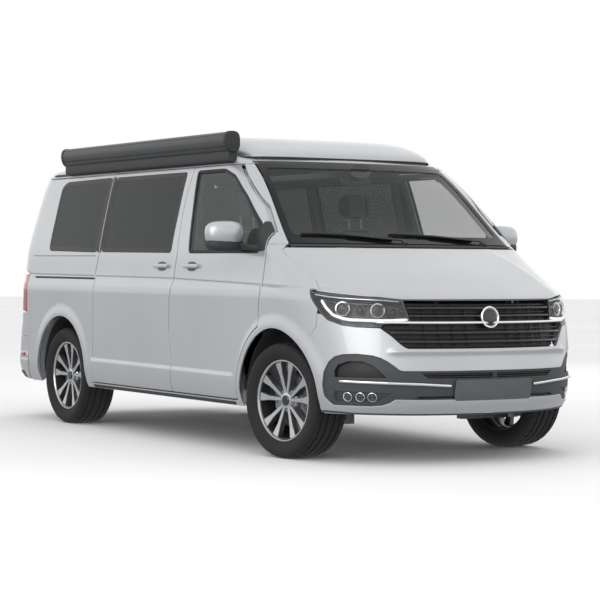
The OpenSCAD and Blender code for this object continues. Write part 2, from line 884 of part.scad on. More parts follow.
// Wheels, drawn about the origin with the axle along X and the outside at +X
rim_w = tyre_w - 30;
bead = rim_w / 2 - 14;
module tyre_shape() {
    w = tyre_w / 2;
    rotate([0, 90, 0])
        rotate_extrude($fn = 96)
            polygon([
                [rim_r - 14.6, -bead], [rim_r + 1, -bead], [rim_r + 1, -bead - 12], [rim_r + 14, -w + 5],
                [rim_r + 34, -w + 0.5], [tyre_r - 52, -w], [tyre_r - 22, -w + 8], [tyre_r - 7, -w + 20],
                [tyre_r - 1.5, -w + 42], [tyre_r, 0], [tyre_r - 1.5, w - 42], [tyre_r - 7, w - 20],
                [tyre_r - 22, w - 8], [tyre_r - 52, w], [rim_r + 34, w - 0.5], [rim_r + 14, w - 5],
                [rim_r + 1, bead + 12], [rim_r + 1, bead], [rim_r - 14.6, bead]
            ]);
}
hub_x = 46;
module rim_shape() {
    w = rim_w / 2;
    rotate([0, 90, 0])
        rotate_extrude($fn = 96)
            polygon([
                [rim_r - 28, -w + 8], [rim_r - 16, -w], [rim_r, -w], [rim_r, -bead - 4],
                [rim_r - 15, -bead - 1], [rim_r - 15, bead + 1], [rim_r, bead + 4], [rim_r, w - 1],
                [rim_r - 12, w], [rim_r - 28, w - 26]
            ]);
    rotate([0, 90, 0])
        difference() {
            union() {
                translate([0, 0, hub_x])
                    cylinder(34, r = 76);
                translate([0, 0, hub_x - 46])
                    cylinder(50, r = 50);
                translate([0, 0, hub_x - 26])
                    cylinder(22, r = 152);
                translate([0, 0, hub_x + 8])
                    linear_extrude(40)
                        for (i = [0 : 4])
                            for (lean = [-1, 1])
                                rotate(i * 72 + lean * 15)
                                    polygon([[44, -15], [rim_r - 22, -21], [rim_r - 22, 21], [44, 15]]);
            }
            translate([0, 0, hub_x - 50])
                cylinder(74, r = spindle_r + spindle_gap);
        }
}
// Places a front wheel at its steered rest angle about its kingpin
module steered() {
    translate([kingpin_x, axle_f, axle_z])
        rotate([0, 0, steer_rest])
            translate([kingpin_in, 0, 0])
                children();
}
module steered_right() {
    translate([-kingpin_x, axle_f, axle_z])
        rotate([0, 0, steer_rest])
            translate([-kingpin_in, 0, 0])
                mirror([1, 0, 0])
                    children();
}
module rear_wheel(side) {
    on_side(side)
        translate([wheel_x, axle_r, axle_z])
            children();
}
module tyre_front_left() {
    color("black") steered() tyre_shape();
}
module tyre_front_right() {
    color("black") steered_right() tyre_shape();
}
module tyre_rear_left() {
    color("black") rear_wheel(1) tyre_shape();
}
module tyre_rear_right() {
    color("black") rear_wheel(-1) tyre_shape();
}
module rim_front_left() {
    color("lightgray") steered() rim_shape();
}
module rim_front_right() {
    color("lightgray") steered_right() rim_shape();
}
module rim_rear_left() {
    color("lightgray") rear_wheel(1) rim_shape();
}
module rim_rear_right() {
    color("lightgray") rear_wheel(-1) rim_shape();
}

// Knuckle: an upright between two pivots, with the spindle that carries the wheel
upright_r = 24;
pivot_r = 12;
upright_low = -124;
upright_high = 128;
pivot_l = 34;
module knuckle_shape() {
    translate([-kingpin_in, 0, upright_low])
        cylinder(upright_high - upright_low, r = upright_r);
    translate([-kingpin_in, 0, upright_low - pivot_l])
        cylinder(upright_high - upright_low + 2 * pivot_l, r = pivot_r);
    translate([-kingpin_in, 0, 0])
        rotate([0, 90, 0])
            cylinder(kingpin_in + hub_x + 20, r = spindle_r);
    translate([-kingpin_in, 0, 0])
        rotate([0, 90, 0])
            cylinder(kingpin_in - 4, r = 38);
}
module knuckle_left() {
    color("gray") steered() knuckle_shape();
}
module knuckle_right() {
    color("gray") steered_right() knuckle_shape();
}

// Front axle: a subframe, lower arms, and struts up to the wheel arches
module front_suspension() {
    low_z = axle_z + upright_low - pivot_l + 4;
    top_z = axle_z + upright_high + 3;
    strut_in = 178;
    strut_x = kingpin_x - strut_in;
    color("dimgray") {
        translate([-leg_x - 70, axle_f - 150, sill_top - 20 - 50])
            cube([2 * leg_x + 140, 300, 50 - seam]);
        both_sides()
            difference() {
                union() {
                    translate([leg_x, axle_f - 30, low_z])
                        cube([kingpin_x - leg_x, 60, 26]);
                    translate([leg_x, axle_f - 30, low_z])
                        cube([60, 60, sill_top - 70 - low_z + 2]);
                    translate([kingpin_x, axle_f, low_z])
                        cylinder(26, r = 30);
                    translate([kingpin_x, axle_f, top_z])
                        cylinder(26, r = 30);
                    translate([strut_x, axle_f - 26, top_z])
                        cube([strut_in, 52, 26]);
                    translate([strut_x, axle_f, top_z])
                        cylinder(arch_z + arch_r + arch_gap - top_z - 6, r = 27);
                    translate([strut_x, axle_f, top_z + 90])
                        cylinder(170, r = 50);
                }
                translate([kingpin_x, axle_f, low_z - 1])
                    cylinder(60, r = pivot_r + spindle_gap);
                translate([kingpin_x, axle_f, top_z - 1])
                    cylinder(60, r = pivot_r + spindle_gap);
            }
    }
}
// Rear axle: a cross member, trailing arms, springs and the rear spindles
module rear_suspension() {
    color("dimgray") {
        translate([-520, axle_r - 60, axle_z - 50])
            cube([1040, 120, 80]);
        both_sides() {
            translate([480, axle_r, axle_z])
                rotate([0, 90, 0])
                    cylinder(wheel_x - 480 - 8, r = 36);
            translate([480, axle_r, axle_z])
                rotate([0, 90, 0])
                    cylinder(wheel_x - 480 + hub_x + 20, r = spindle_r);
            translate([440, axle_r - 560, axle_z - 40])
                cube([70, 560, 60]);
            translate([440, axle_r - 560, axle_z - 40])
                cube([70, 70, sill_top - axle_z + 40 - seam]);
            translate([475, axle_r - 20, axle_z - 20])
                cylinder(sill_top - axle_z + 20 - seam, r = 44);
        }
    }
}

// Engine, exhaust and tank
module engine_block() {
    color("gray")
        translate([-leg_x + 1, axle_f - 420, sill_top - 20])
            cube([2 * leg_x - 2, 500, 480]);
}
pipe_z = sill_z - 26;
module exhaust() {
    color("lightgray") {
        translate([-180, axle_f + 420, pipe_z])
            rotate([-90, 0, 0])
                cylinder(axle_r - axle_f - 90, r = 26);
        translate([-210, axle_r + 330, pipe_z + 10])
            rotate([0, 90, 0])
                cylinder(480, r = 75);
        for (y = [axle_f + 500, axle_r - 420])
            translate([-190, y, pipe_z])
                cube([20, 30, sill_top - seam - pipe_z]);
        translate([220, axle_r + 330, pipe_z - 10])
            rotate([-90, 0, 0])
                cylinder(y_rear - 60 - axle_r - 330, r = 26);
    }
}
module fuel_tank() {
    color("black")
        translate([120, axle_f + 620, sill_top - 190])
            hull()
                for (x = [60, 560], y = [60, 780])
                    translate([x, y, 0]) {
                        cylinder(190 - seam, r = 48, $fn = 24);
                        translate([0, 0, 12])
                            cylinder(166, r = 60, $fn = 24);
                    }
}

// Threaded socket for a towing eye, on a bracket below the tail of the floor
socket_r = 10;
socket_l = 90;
socket_x = 450;
module towing_socket() {
    y0 = y_rear - 260;
    z0 = sill_z - 32;
    color("gray")
        difference() {
            union() {
                translate([-socket_x, y0, z0])
                    rotate([-90, 0, 0])
                        cylinder(socket_l, r = 19);
                translate([-socket_x - 8, y0, z0])
                    cube([16, socket_l - 20, sill_top - z0 - seam]);
            }
            translate([-socket_x, y0 - 1, z0])
                rotate([-90, 0, 0])
                    cylinder(socket_l + 2, r = socket_r);
        }
}

// Cabin
dash_y = firewall_y + firewall_t + seam;
module dashboard() {
    color("dimgray") {
        on_column()
            translate([0, 0, -40 - seam - 190])
                cylinder(190, r = 42);
        intersection() {
            form(wall_t + 14, sill_z, rail_z);
            from_front(dash_y, dash_y + 600)
                translate([-far, 0])
                    square([2 * far, far]);
            translate([-far, 0, 0])
                rotate([90, 0, 90])
                    linear_extrude(2 * far)
                        rounded(30)
                            polygon([
                                [dash_y - 40, cowl_z - 90], [dash_y + 40, cowl_z - 20],
                                [dash_y + 250, cowl_z - 62], [dash_y + 300, cowl_z - 110],
                                [dash_y + 230, cowl_z - 330], [dash_y + 150, cowl_z - 520],
                                [dash_y - 40, cowl_z - 560]
                            ]);
            translate([-far, dash_y, 0])
                cube([2 * far, far, far]);
        }
    }
}
// Steering wheel, hub and column on an axis that points up at the driver
steer_tilt = 62;
steer_y = dash_y + 440;
steer_z = cowl_z - 78;
module on_column() {
    translate([seat_x, steer_y, steer_z])
        rotate([-steer_tilt, 0, 0])
            children();
}
module steering_wheel() {
    color("black")
        on_column() {
                rotate_extrude()
                    translate([steer_r - 15, 0])
                        circle(15);
                translate([0, 0, -40])
                    cylinder(48, r = 66);
                for (a = [0, 180, 270])
                    rotate([0, 0, a])
                        translate([50, -18, -8])
                            cube([steer_r - 62, 36, 14]);
            }
}
module bar(half, at, r) {
    translate([-half, at[0], at[1]])
        rotate([0, 90, 0])
            cylinder(2 * half, r = r, $fn = 16);
}
module seat(x) {
    y0 = axle_f + seat_back;
    translate([x, y0, 0]) {
        hull() {
            translate([-190, -180, floor_z + seam])
                cube([380, 400, 30]);
            translate([-170, -160, seat_z - 160])
                cube([340, 360, 30]);
        }
        hull()
            for (sx = [-1, 1], y = [-230, 230])
                translate([sx * 200, y, seat_z - 150])
                    cylinder(150, r = 50, $fn = 16);
        hull() {
            bar(230, [200, seat_z - 60], 60);
            bar(200, [340, seat_z + 560], 45);
        }
        hull()
            for (sx = [-1, 1], z = [seat_z + 650, seat_z + 760])
                translate([sx * 90, 360, z])
                    sphere(45, $fn = 12);
        hull() {
            translate([-60, 345, seat_z + 560])
                cube([120, 14, 10]);
            translate([-60, 352, seat_z + 650])
                cube([120, 14, 10]);
        }
    }
}
module front_seats() {
    color("darkslategray") {
        seat(seat_x);
        seat(-seat_x);
    }
}
// Bench of two places side by side, each with its own cushion, back and headrest
bench_y = axle_r - 640;
bench_x = -130;
bench_place = 486;
module rear_bench() {
    color("darkslategray")
        for (i = [-0.5, 0.5])
            translate([bench_x + i * (bench_place - 1), bench_y, 0]) {
                hull() {
                    translate([-230, 60, floor_z + seam])
                        cube([460, 480, 20]);
                    translate([-230, 60, floor_z + 240])
                        cube([460, 480, 20]);
                }
                hull()
                    for (sx = [-1, 1], y = [60, 520])
                        translate([sx * (bench_place / 2 - 50), y, floor_z + 245])
                            cylinder(160, r = 50, $fn = 16);
                hull() {
                    bar(bench_place / 2, [560, floor_z + 330], 60);
                    bar(bench_place / 2, [680, floor_z + 840], 50);
                }
                hull()
                    for (sx = [-1, 1], z = [floor_z + 920, floor_z + 1010])
                        translate([sx * 90, 700, z])
                            sphere(42, $fn = 12);
                hull() {
                    translate([-50, 690, floor_z + 840])
                        cube([100, 14, 10]);
                    translate([-50, 694, floor_z + 920])
                        cube([100, 14, 10]);
                }
            }
}
module kitchen_unit() {
    y0 = b_y + 160;
    y1 = axle_r - arch_r - 40;
    color("lightgray")
        intersection() {
            form(wall_t + 6, sill_z, rail_z);
            translate([half_w - 560, y0, floor_z + seam])
                cube([far, y1 - y0, 740]);
        }
}

body_side_left();
body_side_right();
roof_frame();
floor_pan();
front_structure();
front_wings();
front_bumper();
grille();
headlights();
windscreen();
bonnet();
door_left();
door_right();
door_glass_left();
door_glass_right();
mirror_left();
mirror_right();
sliding_door();
side_windows();
tailgate();
tailgate_glass();
tail_lights();
rear_bumper();
pop_top_roof();
tent_canvas();
awning();
tyre_front_left();
tyre_front_right();
tyre_rear_left();
tyre_rear_right();
rim_front_left();
rim_front_right();
rim_rear_left();
rim_rear_right();
knuckle_left();
knuckle_right();
front_suspension();
rear_suspension();
engine_block();
exhaust();
fuel_tank();
towing_socket();
dashboard();
steering_wheel();
front_seats();
rear_bench();
kitchen_unit();
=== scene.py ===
"""Camper van with a lifting roof: its skins, lamps, trim, glass, wheels and seats, built round the CAD frame.

Sizes below are in millimetres, as in the part's source, and become metres when a mesh is made.
"""

import math

import bmesh
import bpy
import numpy as np
from mathutils import Matrix, Vector
from mathutils.geometry import delaunay_2d_cdt


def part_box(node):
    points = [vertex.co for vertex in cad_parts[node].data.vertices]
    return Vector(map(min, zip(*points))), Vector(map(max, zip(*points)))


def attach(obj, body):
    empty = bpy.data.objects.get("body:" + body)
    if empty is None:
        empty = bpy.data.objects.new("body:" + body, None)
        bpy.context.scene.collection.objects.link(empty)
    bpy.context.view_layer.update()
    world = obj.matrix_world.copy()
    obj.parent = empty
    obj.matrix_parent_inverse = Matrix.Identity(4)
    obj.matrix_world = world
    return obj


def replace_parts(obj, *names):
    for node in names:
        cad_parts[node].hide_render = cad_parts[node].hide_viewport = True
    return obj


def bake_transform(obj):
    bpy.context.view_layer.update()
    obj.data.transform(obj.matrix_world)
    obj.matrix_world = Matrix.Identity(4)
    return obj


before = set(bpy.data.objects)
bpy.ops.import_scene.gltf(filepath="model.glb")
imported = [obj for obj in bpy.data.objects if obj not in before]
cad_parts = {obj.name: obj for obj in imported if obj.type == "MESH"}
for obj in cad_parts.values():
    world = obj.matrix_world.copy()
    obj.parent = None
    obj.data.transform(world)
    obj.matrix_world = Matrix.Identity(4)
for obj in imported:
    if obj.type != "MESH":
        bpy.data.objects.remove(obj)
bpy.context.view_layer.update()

# ---------------------------------------------------------------- sizes
LENGTH, HEIGHT, HALF_W = 4904, 1990, 952
Y_FRONT, Y_REAR = -LENGTH / 2, LENGTH / 2
AXLE_F, AXLE_R, AXLE_Z, ARCH_Z = Y_FRONT + 908, Y_FRONT + 3908, 341, 363
SILL_Z, LIP_Z, BONNET_Z, CREASE_Z, BELT_Z, COWL_Z = 280, 520, 948, 1010, 1215, 1270
ROOF_Z, RAIL_Z = HEIGHT - 148, HEIGHT - 220
COWL_Y, HEADER_Y, HINGE_Y = Y_FRONT + 850, Y_FRONT + 1505, AXLE_F + 139
B_Y, C_Y = AXLE_F + 1320, AXLE_F + 2472
TUMBLE, ARCH_R, GAP = 150, 405, 7
WHEEL_X, KINGPIN_X = 800.5, 740.5
STEER_REST = math.radians(8)
REAR_BUMPER_Y, WING_TOP, BONNET_LOW = Y_REAR - 420, COWL_Z - 8, BONNET_Z + 8
TAILGATE_Z, TAILGATE_W = 610, 1580
LAMP_LOW, LAMP_HIGH, LAMP_Y = CREASE_Z - 230, CREASE_Z + 55, Y_REAR - 390
WINDOW_TOP = RAIL_Z - 30
DASH_Y = AXLE_F + 230.4
ROLL = 2.5
SIDES = ((1, "left"), (-1, "right"))


# ---------------------------------------------------------------- body surface
def curve(keys):
    """Smooth curve through [z, value] keys, with no overshoot between them."""
    kz, kv = np.array(keys, float).T
    h = np.diff(kz)
    rise = np.diff(kv) / h
    both = rise[:-1] + rise[1:]
    prod = rise[:-1] * rise[1:]
    inner = np.where(prod <= 0, 0, 2 * prod / np.where(both == 0, 1, both))
    m = np.concatenate([[rise[0]], inner, [rise[-1]]])

    def at(z):
        z = np.asarray(z, float)
        i = np.clip(np.searchsorted(kz, z, side="right") - 1, 0, len(kz) - 2)
        t = np.clip((z - kz[i]) / h[i], 0, 1)
        a, b = t**3, t**2
        return (
            kv[i] * (2 * a - 3 * b + 1)
            + h[i] * m[i] * (a - 2 * b + t)
            + kv[i + 1] * (3 * b - 2 * a)
            + h[i] * m[i + 1] * (a - b)
        )

    return at


def row_interp(t, table, *values):
    """Row by row, values where the rising table reaches t."""
    i = np.clip((table <= t[:, None]).sum(1) - 1, 0, table.shape[1] - 2)
    r = np.arange(len(t))
    a, b = table[r, i], table[r, i + 1]
    f = np.clip((t - a) / np.where(b - a == 0, 1, b - a), 0, 1)
    return [v[r, i] * (1 - f) + v[r, i + 1] * f for v in values]


class Form:
    """A body of squared plan outlines. A point on it is (s, z): s runs along the outline, is y on the side,
    falls towards the middle of the nose and rises towards the middle of the tail."""

    FAN = np.linspace(0, np.pi / 2, 141)[::-1]

    def __init__(self, side, nose, start, power, tail, tail_round, tail_power):
        self.side, self.nose, self.start = side, nose, start
        self.power, self.tail = power, tail
        self.tail_round, self.tail_power = tail_round, tail_power

    def fan(self, z, front):
        w = self.side(z)[:, None]
        if front:
            e = 2 / self.power(z)[:, None]
            y0 = self.start(z)[:, None]
            ry = self.nose(z)[:, None] - y0
        else:
            e = 2 / self.tail_power
            y0 = self.tail(z)[:, None] - self.tail_round
            ry = self.tail_round
        x = w * np.abs(np.sin(self.FAN)) ** e
        y = y0 + ry * np.abs(np.cos(self.FAN)) ** e
        x[:, -1] = 0
        run = np.concatenate(
            [np.zeros((len(z), 1)), np.cumsum(np.hypot(np.diff(x), np.diff(y)), 1)], 1
        )
        return x, y, run

    def place(self, s, z):
        s, z = np.asarray(s, float), np.asarray(z, float)
        p = np.stack([self.side(z), s, z], -1)
        start, back = self.start(z), self.tail(z) - self.tail_round
        for mask, front in ((s < start, True), (s > back, False)):
            if mask.any():
                x, y, run = self.fan(z[mask], front)
                d = np.abs(s[mask] - (start if front else back)[mask])
                total = run[:, -1]
                over = d > total
                px, py = row_interp(np.where(over, 2 * total - d, d), run, x, y)
                p[mask, 0], p[mask, 1] = np.where(over, -px, px), py
        return p

    def s_side(self, y, z):
        """s of the point at y on the side."""
        y, z = np.broadcast_arrays(np.asarray(y, float), np.asarray(z, float))
        s = y.copy()
        start, back = self.start(z), self.tail(z) - self.tail_round
        for mask, front in ((y < start, True), (y > back, False)):
            if mask.any():
                _, ty, run = self.fan(z[mask], front)
                sign = -1 if front else 1
                (d,) = row_interp(sign * y[mask], sign * ty, run)
                s[mask] = (start if front else back)[mask] + sign * d
        return s

    def s_end(self, x, z, front=True):
        """s of the point at x on the nose or the tail."""
        x, z = np.broadcast_arrays(np.asarray(x, float), np.asarray(z, float))
        tx, _, run = self.fan(z.ravel(), front)
        (d,) = row_interp(-np.abs(x.ravel()), -tx, run)
        d = d.reshape(x.shape)
        d = np.where(x < 0, 2 * run[:, -1].reshape(x.shape) - d, d)
        return self.start(z) - d if front else self.tail(z) - self.tail_round + d

    def lift(self, uv, relief=None):
        """Points and outward normals at (s, z)."""

        def at(ds, dz):
            s, z = uv[:, 0] + ds, uv[:, 1] + dz
            return self.place(s, z)

        n = np.cross(at(3, 0) - at(-3, 0), at(0, 3) - at(0, -3))
        n /= np.linalg.norm(n, axis=1)[:, None] + 1e-12
        p = at(0, 0)
        if relief is None:
            return p, n
        return raised(p, n, at, relief)


def raised(p, n, at, relief):
    """Moves points out along their normals by relief(points) and turns the normals to match."""
    eps = 2.0
    h0 = relief(p)
    steps = []
    for ds, dz in ((eps, 0), (0, eps)):
        q = at(ds, dz)
        d = (q - p) + n * (relief(q) - h0)[:, None]
        steps.append(d)
    m = np.cross(steps[0], steps[1])
    m /= np.linalg.norm(m, axis=1)[:, None] + 1e-12
    return p + n * h0[:, None], m


side_at = curve([
    [SILL_Z, HALF_W - 36], [SILL_Z + 50, HALF_W - 12], [SILL_Z + 170, HALF_W],
    [CREASE_Z - 70, HALF_W], [CREASE_Z - 20, HALF_W - 3], [CREASE_Z + 20, HALF_W - 16],
    [BELT_Z, HALF_W - 30], [(BELT_Z + RAIL_Z) / 2, HALF_W - 20 - 0.42 * TUMBLE],
    [RAIL_Z - 60, HALF_W - 0.9 * TUMBLE], [RAIL_Z, HALF_W - TUMBLE - 6],
    [RAIL_Z + 32.4, HALF_W - TUMBLE - 26], [RAIL_Z + 57.6, HALF_W - TUMBLE - 62],
    [ROOF_Z, HALF_W - TUMBLE - 120],
])
nose_at = curve([
    [SILL_Z, Y_FRONT + 80], [SILL_Z + 50, Y_FRONT + 36], [SILL_Z + 140, Y_FRONT + 8],
    [LIP_Z, Y_FRONT], [LIP_Z + 100, Y_FRONT + 16], [LIP_Z + 300, Y_FRONT + 60],
    [BONNET_Z, Y_FRONT + 100], [BONNET_Z + 20, Y_FRONT + 128], [BONNET_Z + 52, Y_FRONT + 190],
    [BONNET_Z + 152, Y_FRONT + 400], [COWL_Z - 25, COWL_Y - 72], [COWL_Z, COWL_Y],
    [RAIL_Z + 22, HEADER_Y], [RAIL_Z + 50.4, HEADER_Y + 80], [ROOF_Z, HEADER_Y + 190],
])
start_at = curve([
    [SILL_Z, Y_FRONT + 900], [BONNET_Z, Y_FRONT + 900], [BONNET_Z + 102, Y_FRONT + 980],
    [COWL_Z, COWL_Y + 262], [RAIL_Z, HEADER_Y + 205], [ROOF_Z, HEADER_Y + 380],
])
power_at = curve([[SILL_Z, 2.4], [BONNET_Z, 2.4], [COWL_Z, 2.2], [ROOF_Z, 2.2]])
tail_at = curve([
    [SILL_Z, Y_REAR - 90], [SILL_Z + 60, Y_REAR - 22], [SILL_Z + 160, Y_REAR],
    [TAILGATE_Z, Y_REAR - 14], [TAILGATE_Z + 120, Y_REAR - 40], [BELT_Z, Y_REAR - 66],
    [(BELT_Z + RAIL_Z) / 2, Y_REAR - 120], [RAIL_Z, Y_REAR - 190],
    [RAIL_Z + 50.4, Y_REAR - 230], [ROOF_Z, Y_REAR - 300],
])
BODY = Form(side_at, nose_at, start_at, power_at, tail_at, 430, 3.4)

POP_W, POP_LOW, POP_REAR = 1420, ROOF_Z - 34, Y_REAR - 560
pop_nose = curve([
    [POP_LOW, HEADER_Y + 44], [ROOF_Z - 4, HEADER_Y + 58], [HEIGHT - 84, HEADER_Y + 190],
    [HEIGHT - 40, HEADER_Y + 340], [HEIGHT - 14, HEADER_Y + 560], [HEIGHT, HEADER_Y + 900],
])
pop_side = curve([
    [POP_LOW, POP_W / 2 + 4], [ROOF_Z + 30, POP_W / 2 - 8], [HEIGHT - 70, POP_W / 2 - 34],
    [HEIGHT - 34, POP_W / 2 - 78], [HEIGHT - 12, POP_W / 2 - 170], [HEIGHT, POP_W / 2 - 330],
])
pop_tail = curve([
    [POP_LOW, POP_REAR], [ROOF_Z + 30, POP_REAR - 14], [HEIGHT - 50, POP_REAR - 70],
    [HEIGHT - 16, POP_REAR - 180], [HEIGHT, POP_REAR - 380],
])


# ---------------------------------------------------------------- drawings in the plane
def grow(loop, by):
    """Offsets a closed outline outwards, whichever way it runs."""
    p = np.array(loop, float)
    area = np.sum(p[:, 0] * np.roll(p[:, 1], -1) - np.roll(p[:, 0], -1) * p[:, 1])
    d = np.roll(p, -1, 0) - p
    d /= np.linalg.norm(d, axis=1)[:, None]
    n = np.stack([d[:, 1], -d[:, 0]], 1) * np.sign(area)
    m = n + np.roll(n, 1, 0)
    m /= np.maximum(1 + np.sum(n * np.roll(n, 1, 0), 1), 0.35)[:, None]
    return p + m * by


def soften(loop, r, turns=6):
    """Rounds the corners of a closed outline."""
    p = np.array(loop, float)
    out = []
    for a, b, c in zip(np.roll(p, 1, 0), p, np.roll(p, -1, 0)):
        u, v = a - b, c - b
        lu, lv = np.linalg.norm(u), np.linalg.norm(v)
        cut = min(r, 0.45 * lu, 0.45 * lv)
        q0, q1 = b + u / lu * cut, b + v / lv * cut
        for t in np.linspace(0, 1, turns):
            out.append(q0 * (1 - t) ** 2 + 2 * b * t * (1 - t) + q1 * t**2)
    return np.array(out)


def resample(loop, step, closed=True):
    """Adds points so that no side is longer than step."""
    p = np.array(loop, float)
    out = []
    for a, b in zip(p, np.roll(p, -1, 0) if closed else p[1:]):
        n = max(1, math.ceil(np.linalg.norm(b - a) / step))
        out += [a + (b - a) * i / n for i in range(n)]
    if not closed:
        out.append(p[-1])
    return np.array(out)


def ring(cx, cy, r, n=120):
    t = np.linspace(0, 2 * np.pi, n, endpoint=False)
    return np.stack([cx + r * np.cos(t), cy + r * np.sin(t)], 1)


def inside(points, loop):
    """Which points lie inside a closed outline."""
    x, y = points[:, 0], points[:, 1]
    hit = np.zeros(len(points), bool)
    for (x0, y0), (x1, y1) in zip(loop, np.roll(loop, -1, 0)):
        if y0 == y1:
            continue
        cross = ((y0 > y) != (y1 > y)) & (x < (x1 - x0) * (y - y0) / (y1 - y0) + x0)
        hit ^= cross
    return hit


def patch(outer, holes=(), step=22, extra=None):
    """Triangles that fill an outline less its holes, with even points between."""
    loops = [np.array(l, float) for l in (outer, *holes)]
    pts, edges = [], []
    for l in loops:
        base = len(pts)
        pts += list(l)
        edges += [(base + i, base + (i + 1) % len(l)) for i in range(len(l))]
    rim = np.array(pts)
    lo, hi = loops[0].min(0), loops[0].max(0)
    gx = np.arange(lo[0] + step / 2, hi[0], step)
    gy = np.arange(lo[1] + step / 2, hi[1], step)
    grid = np.stack(np.meshgrid(gx, gy), -1).reshape(-1, 2)
    if extra is not None:
        rim = np.concatenate([rim, extra])
    near = np.zeros(len(grid), bool)
    for i in range(0, len(grid), 400):
        d = grid[i : i + 400, None, :] - rim[None]
        near[i : i + 400] = (d**2).sum(-1).min(1) < (0.55 * step) ** 2
    grid = grid[~near]
    if extra is not None:
        grid = np.concatenate([grid, extra])

    def kept(q):
        k = inside(q, loops[0])
        for h in loops[1:]:
            k &= ~inside(q, h)
        return k

    grid = grid[kept(grid)]
    verts = [Vector(p) for p in np.concatenate([np.array(pts), grid])]
    v, _, f, *_ = delaunay_2d_cdt(verts, edges, [], 0, 1e-4)
    v = np.array([tuple(p) for p in v])
    f = np.array([list(t) for t in f])
    f = f[kept(v[f].mean(1))]
    a = v[f]
    turn = np.cross(a[:, 1] - a[:, 0], a[:, 2] - a[:, 0])
    f[turn < 0] = f[turn < 0][:, ::-1]
    used = np.unique(f)
    new = -np.ones(len(v), int)
    new[used] = np.arange(len(used))
    return v[used], new[f]


# ---------------------------------------------------------------- meshes
def link(name, verts, faces, mat, normals=None, smooth=True, body="root"):
    """A mesh object in metres from points in millimetres, riding on a body."""
    me = bpy.data.meshes.new(name)
    me.from_pydata([tuple(v) for v in np.asarray(verts, float) * 0.001], [],
                   [tuple(map(int, f)) for f in faces])
    me.validate(clean_customdata=False)
    me.update()
    if smooth:
        me.polygons.foreach_set("use_smooth", [True] * len(me.polygons))
    if normals is not None and len(me.vertices) == len(normals):
        me.normals_split_custom_set_from_vertices([tuple(n) for n in normals])
    ob = bpy.data.objects.new(name, me)
    bpy.context.scene.collection.objects.link(ob)
    me.materials.append(mat)
    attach(ob, body)
    return ob


def tube(m, k, ends=True, loop=False):
    """Faces of m rings of k points, with a face over each end, or with the last ring joined to the first."""
    f = [(i * k + j, i * k + (j + 1) % k, (i + 1) % m * k + (j + 1) % k, (i + 1) % m * k + j)
         for i in range(m if loop else m - 1) for j in range(k)]
    return f + ([tuple(range(k))[::-1], tuple((m - 1) * k + j for j in range(k))] if ends else [])


def rims(faces):
    """Edges with one face, in that face's direction."""
    e = np.concatenate([faces[:, [0, 1]], faces[:, [1, 2]], faces[:, [2, 0]]])
    key = e.min(1) * (faces.max() + 1) + e.max(1)
    _, index, count = np.unique(key, return_index=True, return_counts=True)
    return e[index[count == 1]]


def shell(p, n, f, depth=0, thick=20, roll=ROLL):
    """A closed plate: p sunk by depth, rolled at its edges, and thick deep."""
    e = rims(f)
    count = len(p)
    d = p[e[:, 1]] - p[e[:, 0]]
    d /= np.linalg.norm(d, axis=1)[:, None] + 1e-12
    out = np.zeros((count, 3))
    for k in (0, 1):
        np.add.at(out, e[:, k], np.cross(d, n[e[:, k]]))
    edge = np.unique(e)
    o = out[edge]
    size = np.linalg.norm(o, axis=1)
    o = o / (size[:, None] + 1e-12) * np.clip(2 / (size[:, None] + 1e-12), 1, 1.6)
    place = -np.ones(count, int)
    place[edge] = np.arange(len(edge))
    top = p - n * depth
    verts, norms = [top], [n]
    rings = [edge]
    total = count
    for a in (math.pi / 6, math.pi / 3, math.pi / 2):
        verts.append(top[edge] + o * roll * math.sin(a) - n[edge] * roll * (1 - math.cos(a)))
        m = n[edge] * math.cos(a) + o * math.sin(a)
        norms.append(m)
        rings.append(total + np.arange(len(edge)))
        total += len(edge)
    verts.append(top[edge] + o * roll - n[edge] * thick)
    norms.append(o)
    rings.append(total + np.arange(len(edge)))
    total += len(edge)
    back = total
    verts.append(top - n * thick)
    norms.append(-n)
    rings.append(back + edge)
    faces = [f, f[:, ::-1] + back]
    a, b = place[e[:, 0]], place[e[:, 1]]
    for r0, r1 in zip(rings, rings[1:]):
        faces.append(np.stack([r0[b], r0[a], r1[a]], 1))
        faces.append(np.stack([r0[b], r1[a], r1[b]], 1))
    return np.concatenate(verts), np.concatenate(norms), np.concatenate(faces)


def weld(p, n, f, tol=0.6):
    """Adds the mirror image of a half on x > 0 and joins them on the centre line."""
    count = len(p)
    on = np.abs(p[:, 0]) < tol
    p = p.copy()
    n = n.copy()
    p[on, 0] = 0
    n[on, 0] = 0
    n /= np.linalg.norm(n, axis=1)[:, None] + 1e-12
    index = np.arange(count)
    other = np.cumsum(~on) - 1 + count
    other = np.where(on, index, other)
    flip = np.array([-1, 1, 1])
    return (
        np.concatenate([p, p[~on] * flip]),
        np.concatenate([n, n[~on] * flip]),
        np.concatenate([f, other[f][:, ::-1]]),
    )


def other_side(p, n, f):
    flip = np.array([-1, 1, 1])
    return p * flip, n * flip, f[:, ::-1]


# ---------------------------------------------------------------- materials
def new_material(name):
    m = bpy.data.materials.new(name)
    m.use_nodes = True
    return m, m.node_tree, m.node_tree.nodes["Principled BSDF"]


def noise_node(nt, scale, detail=4.0, rough=0.55):
    tex = nt.nodes.new("ShaderNodeTexCoord")
    no = nt.nodes.new("ShaderNodeTexNoise")
    no.inputs["Scale"].default_value = scale
    no.inputs["Detail"].default_value = detail
    no.inputs["Roughness"].default_value = rough
    nt.links.new(tex.outputs["Object"], no.inputs["Vector"])
    return no


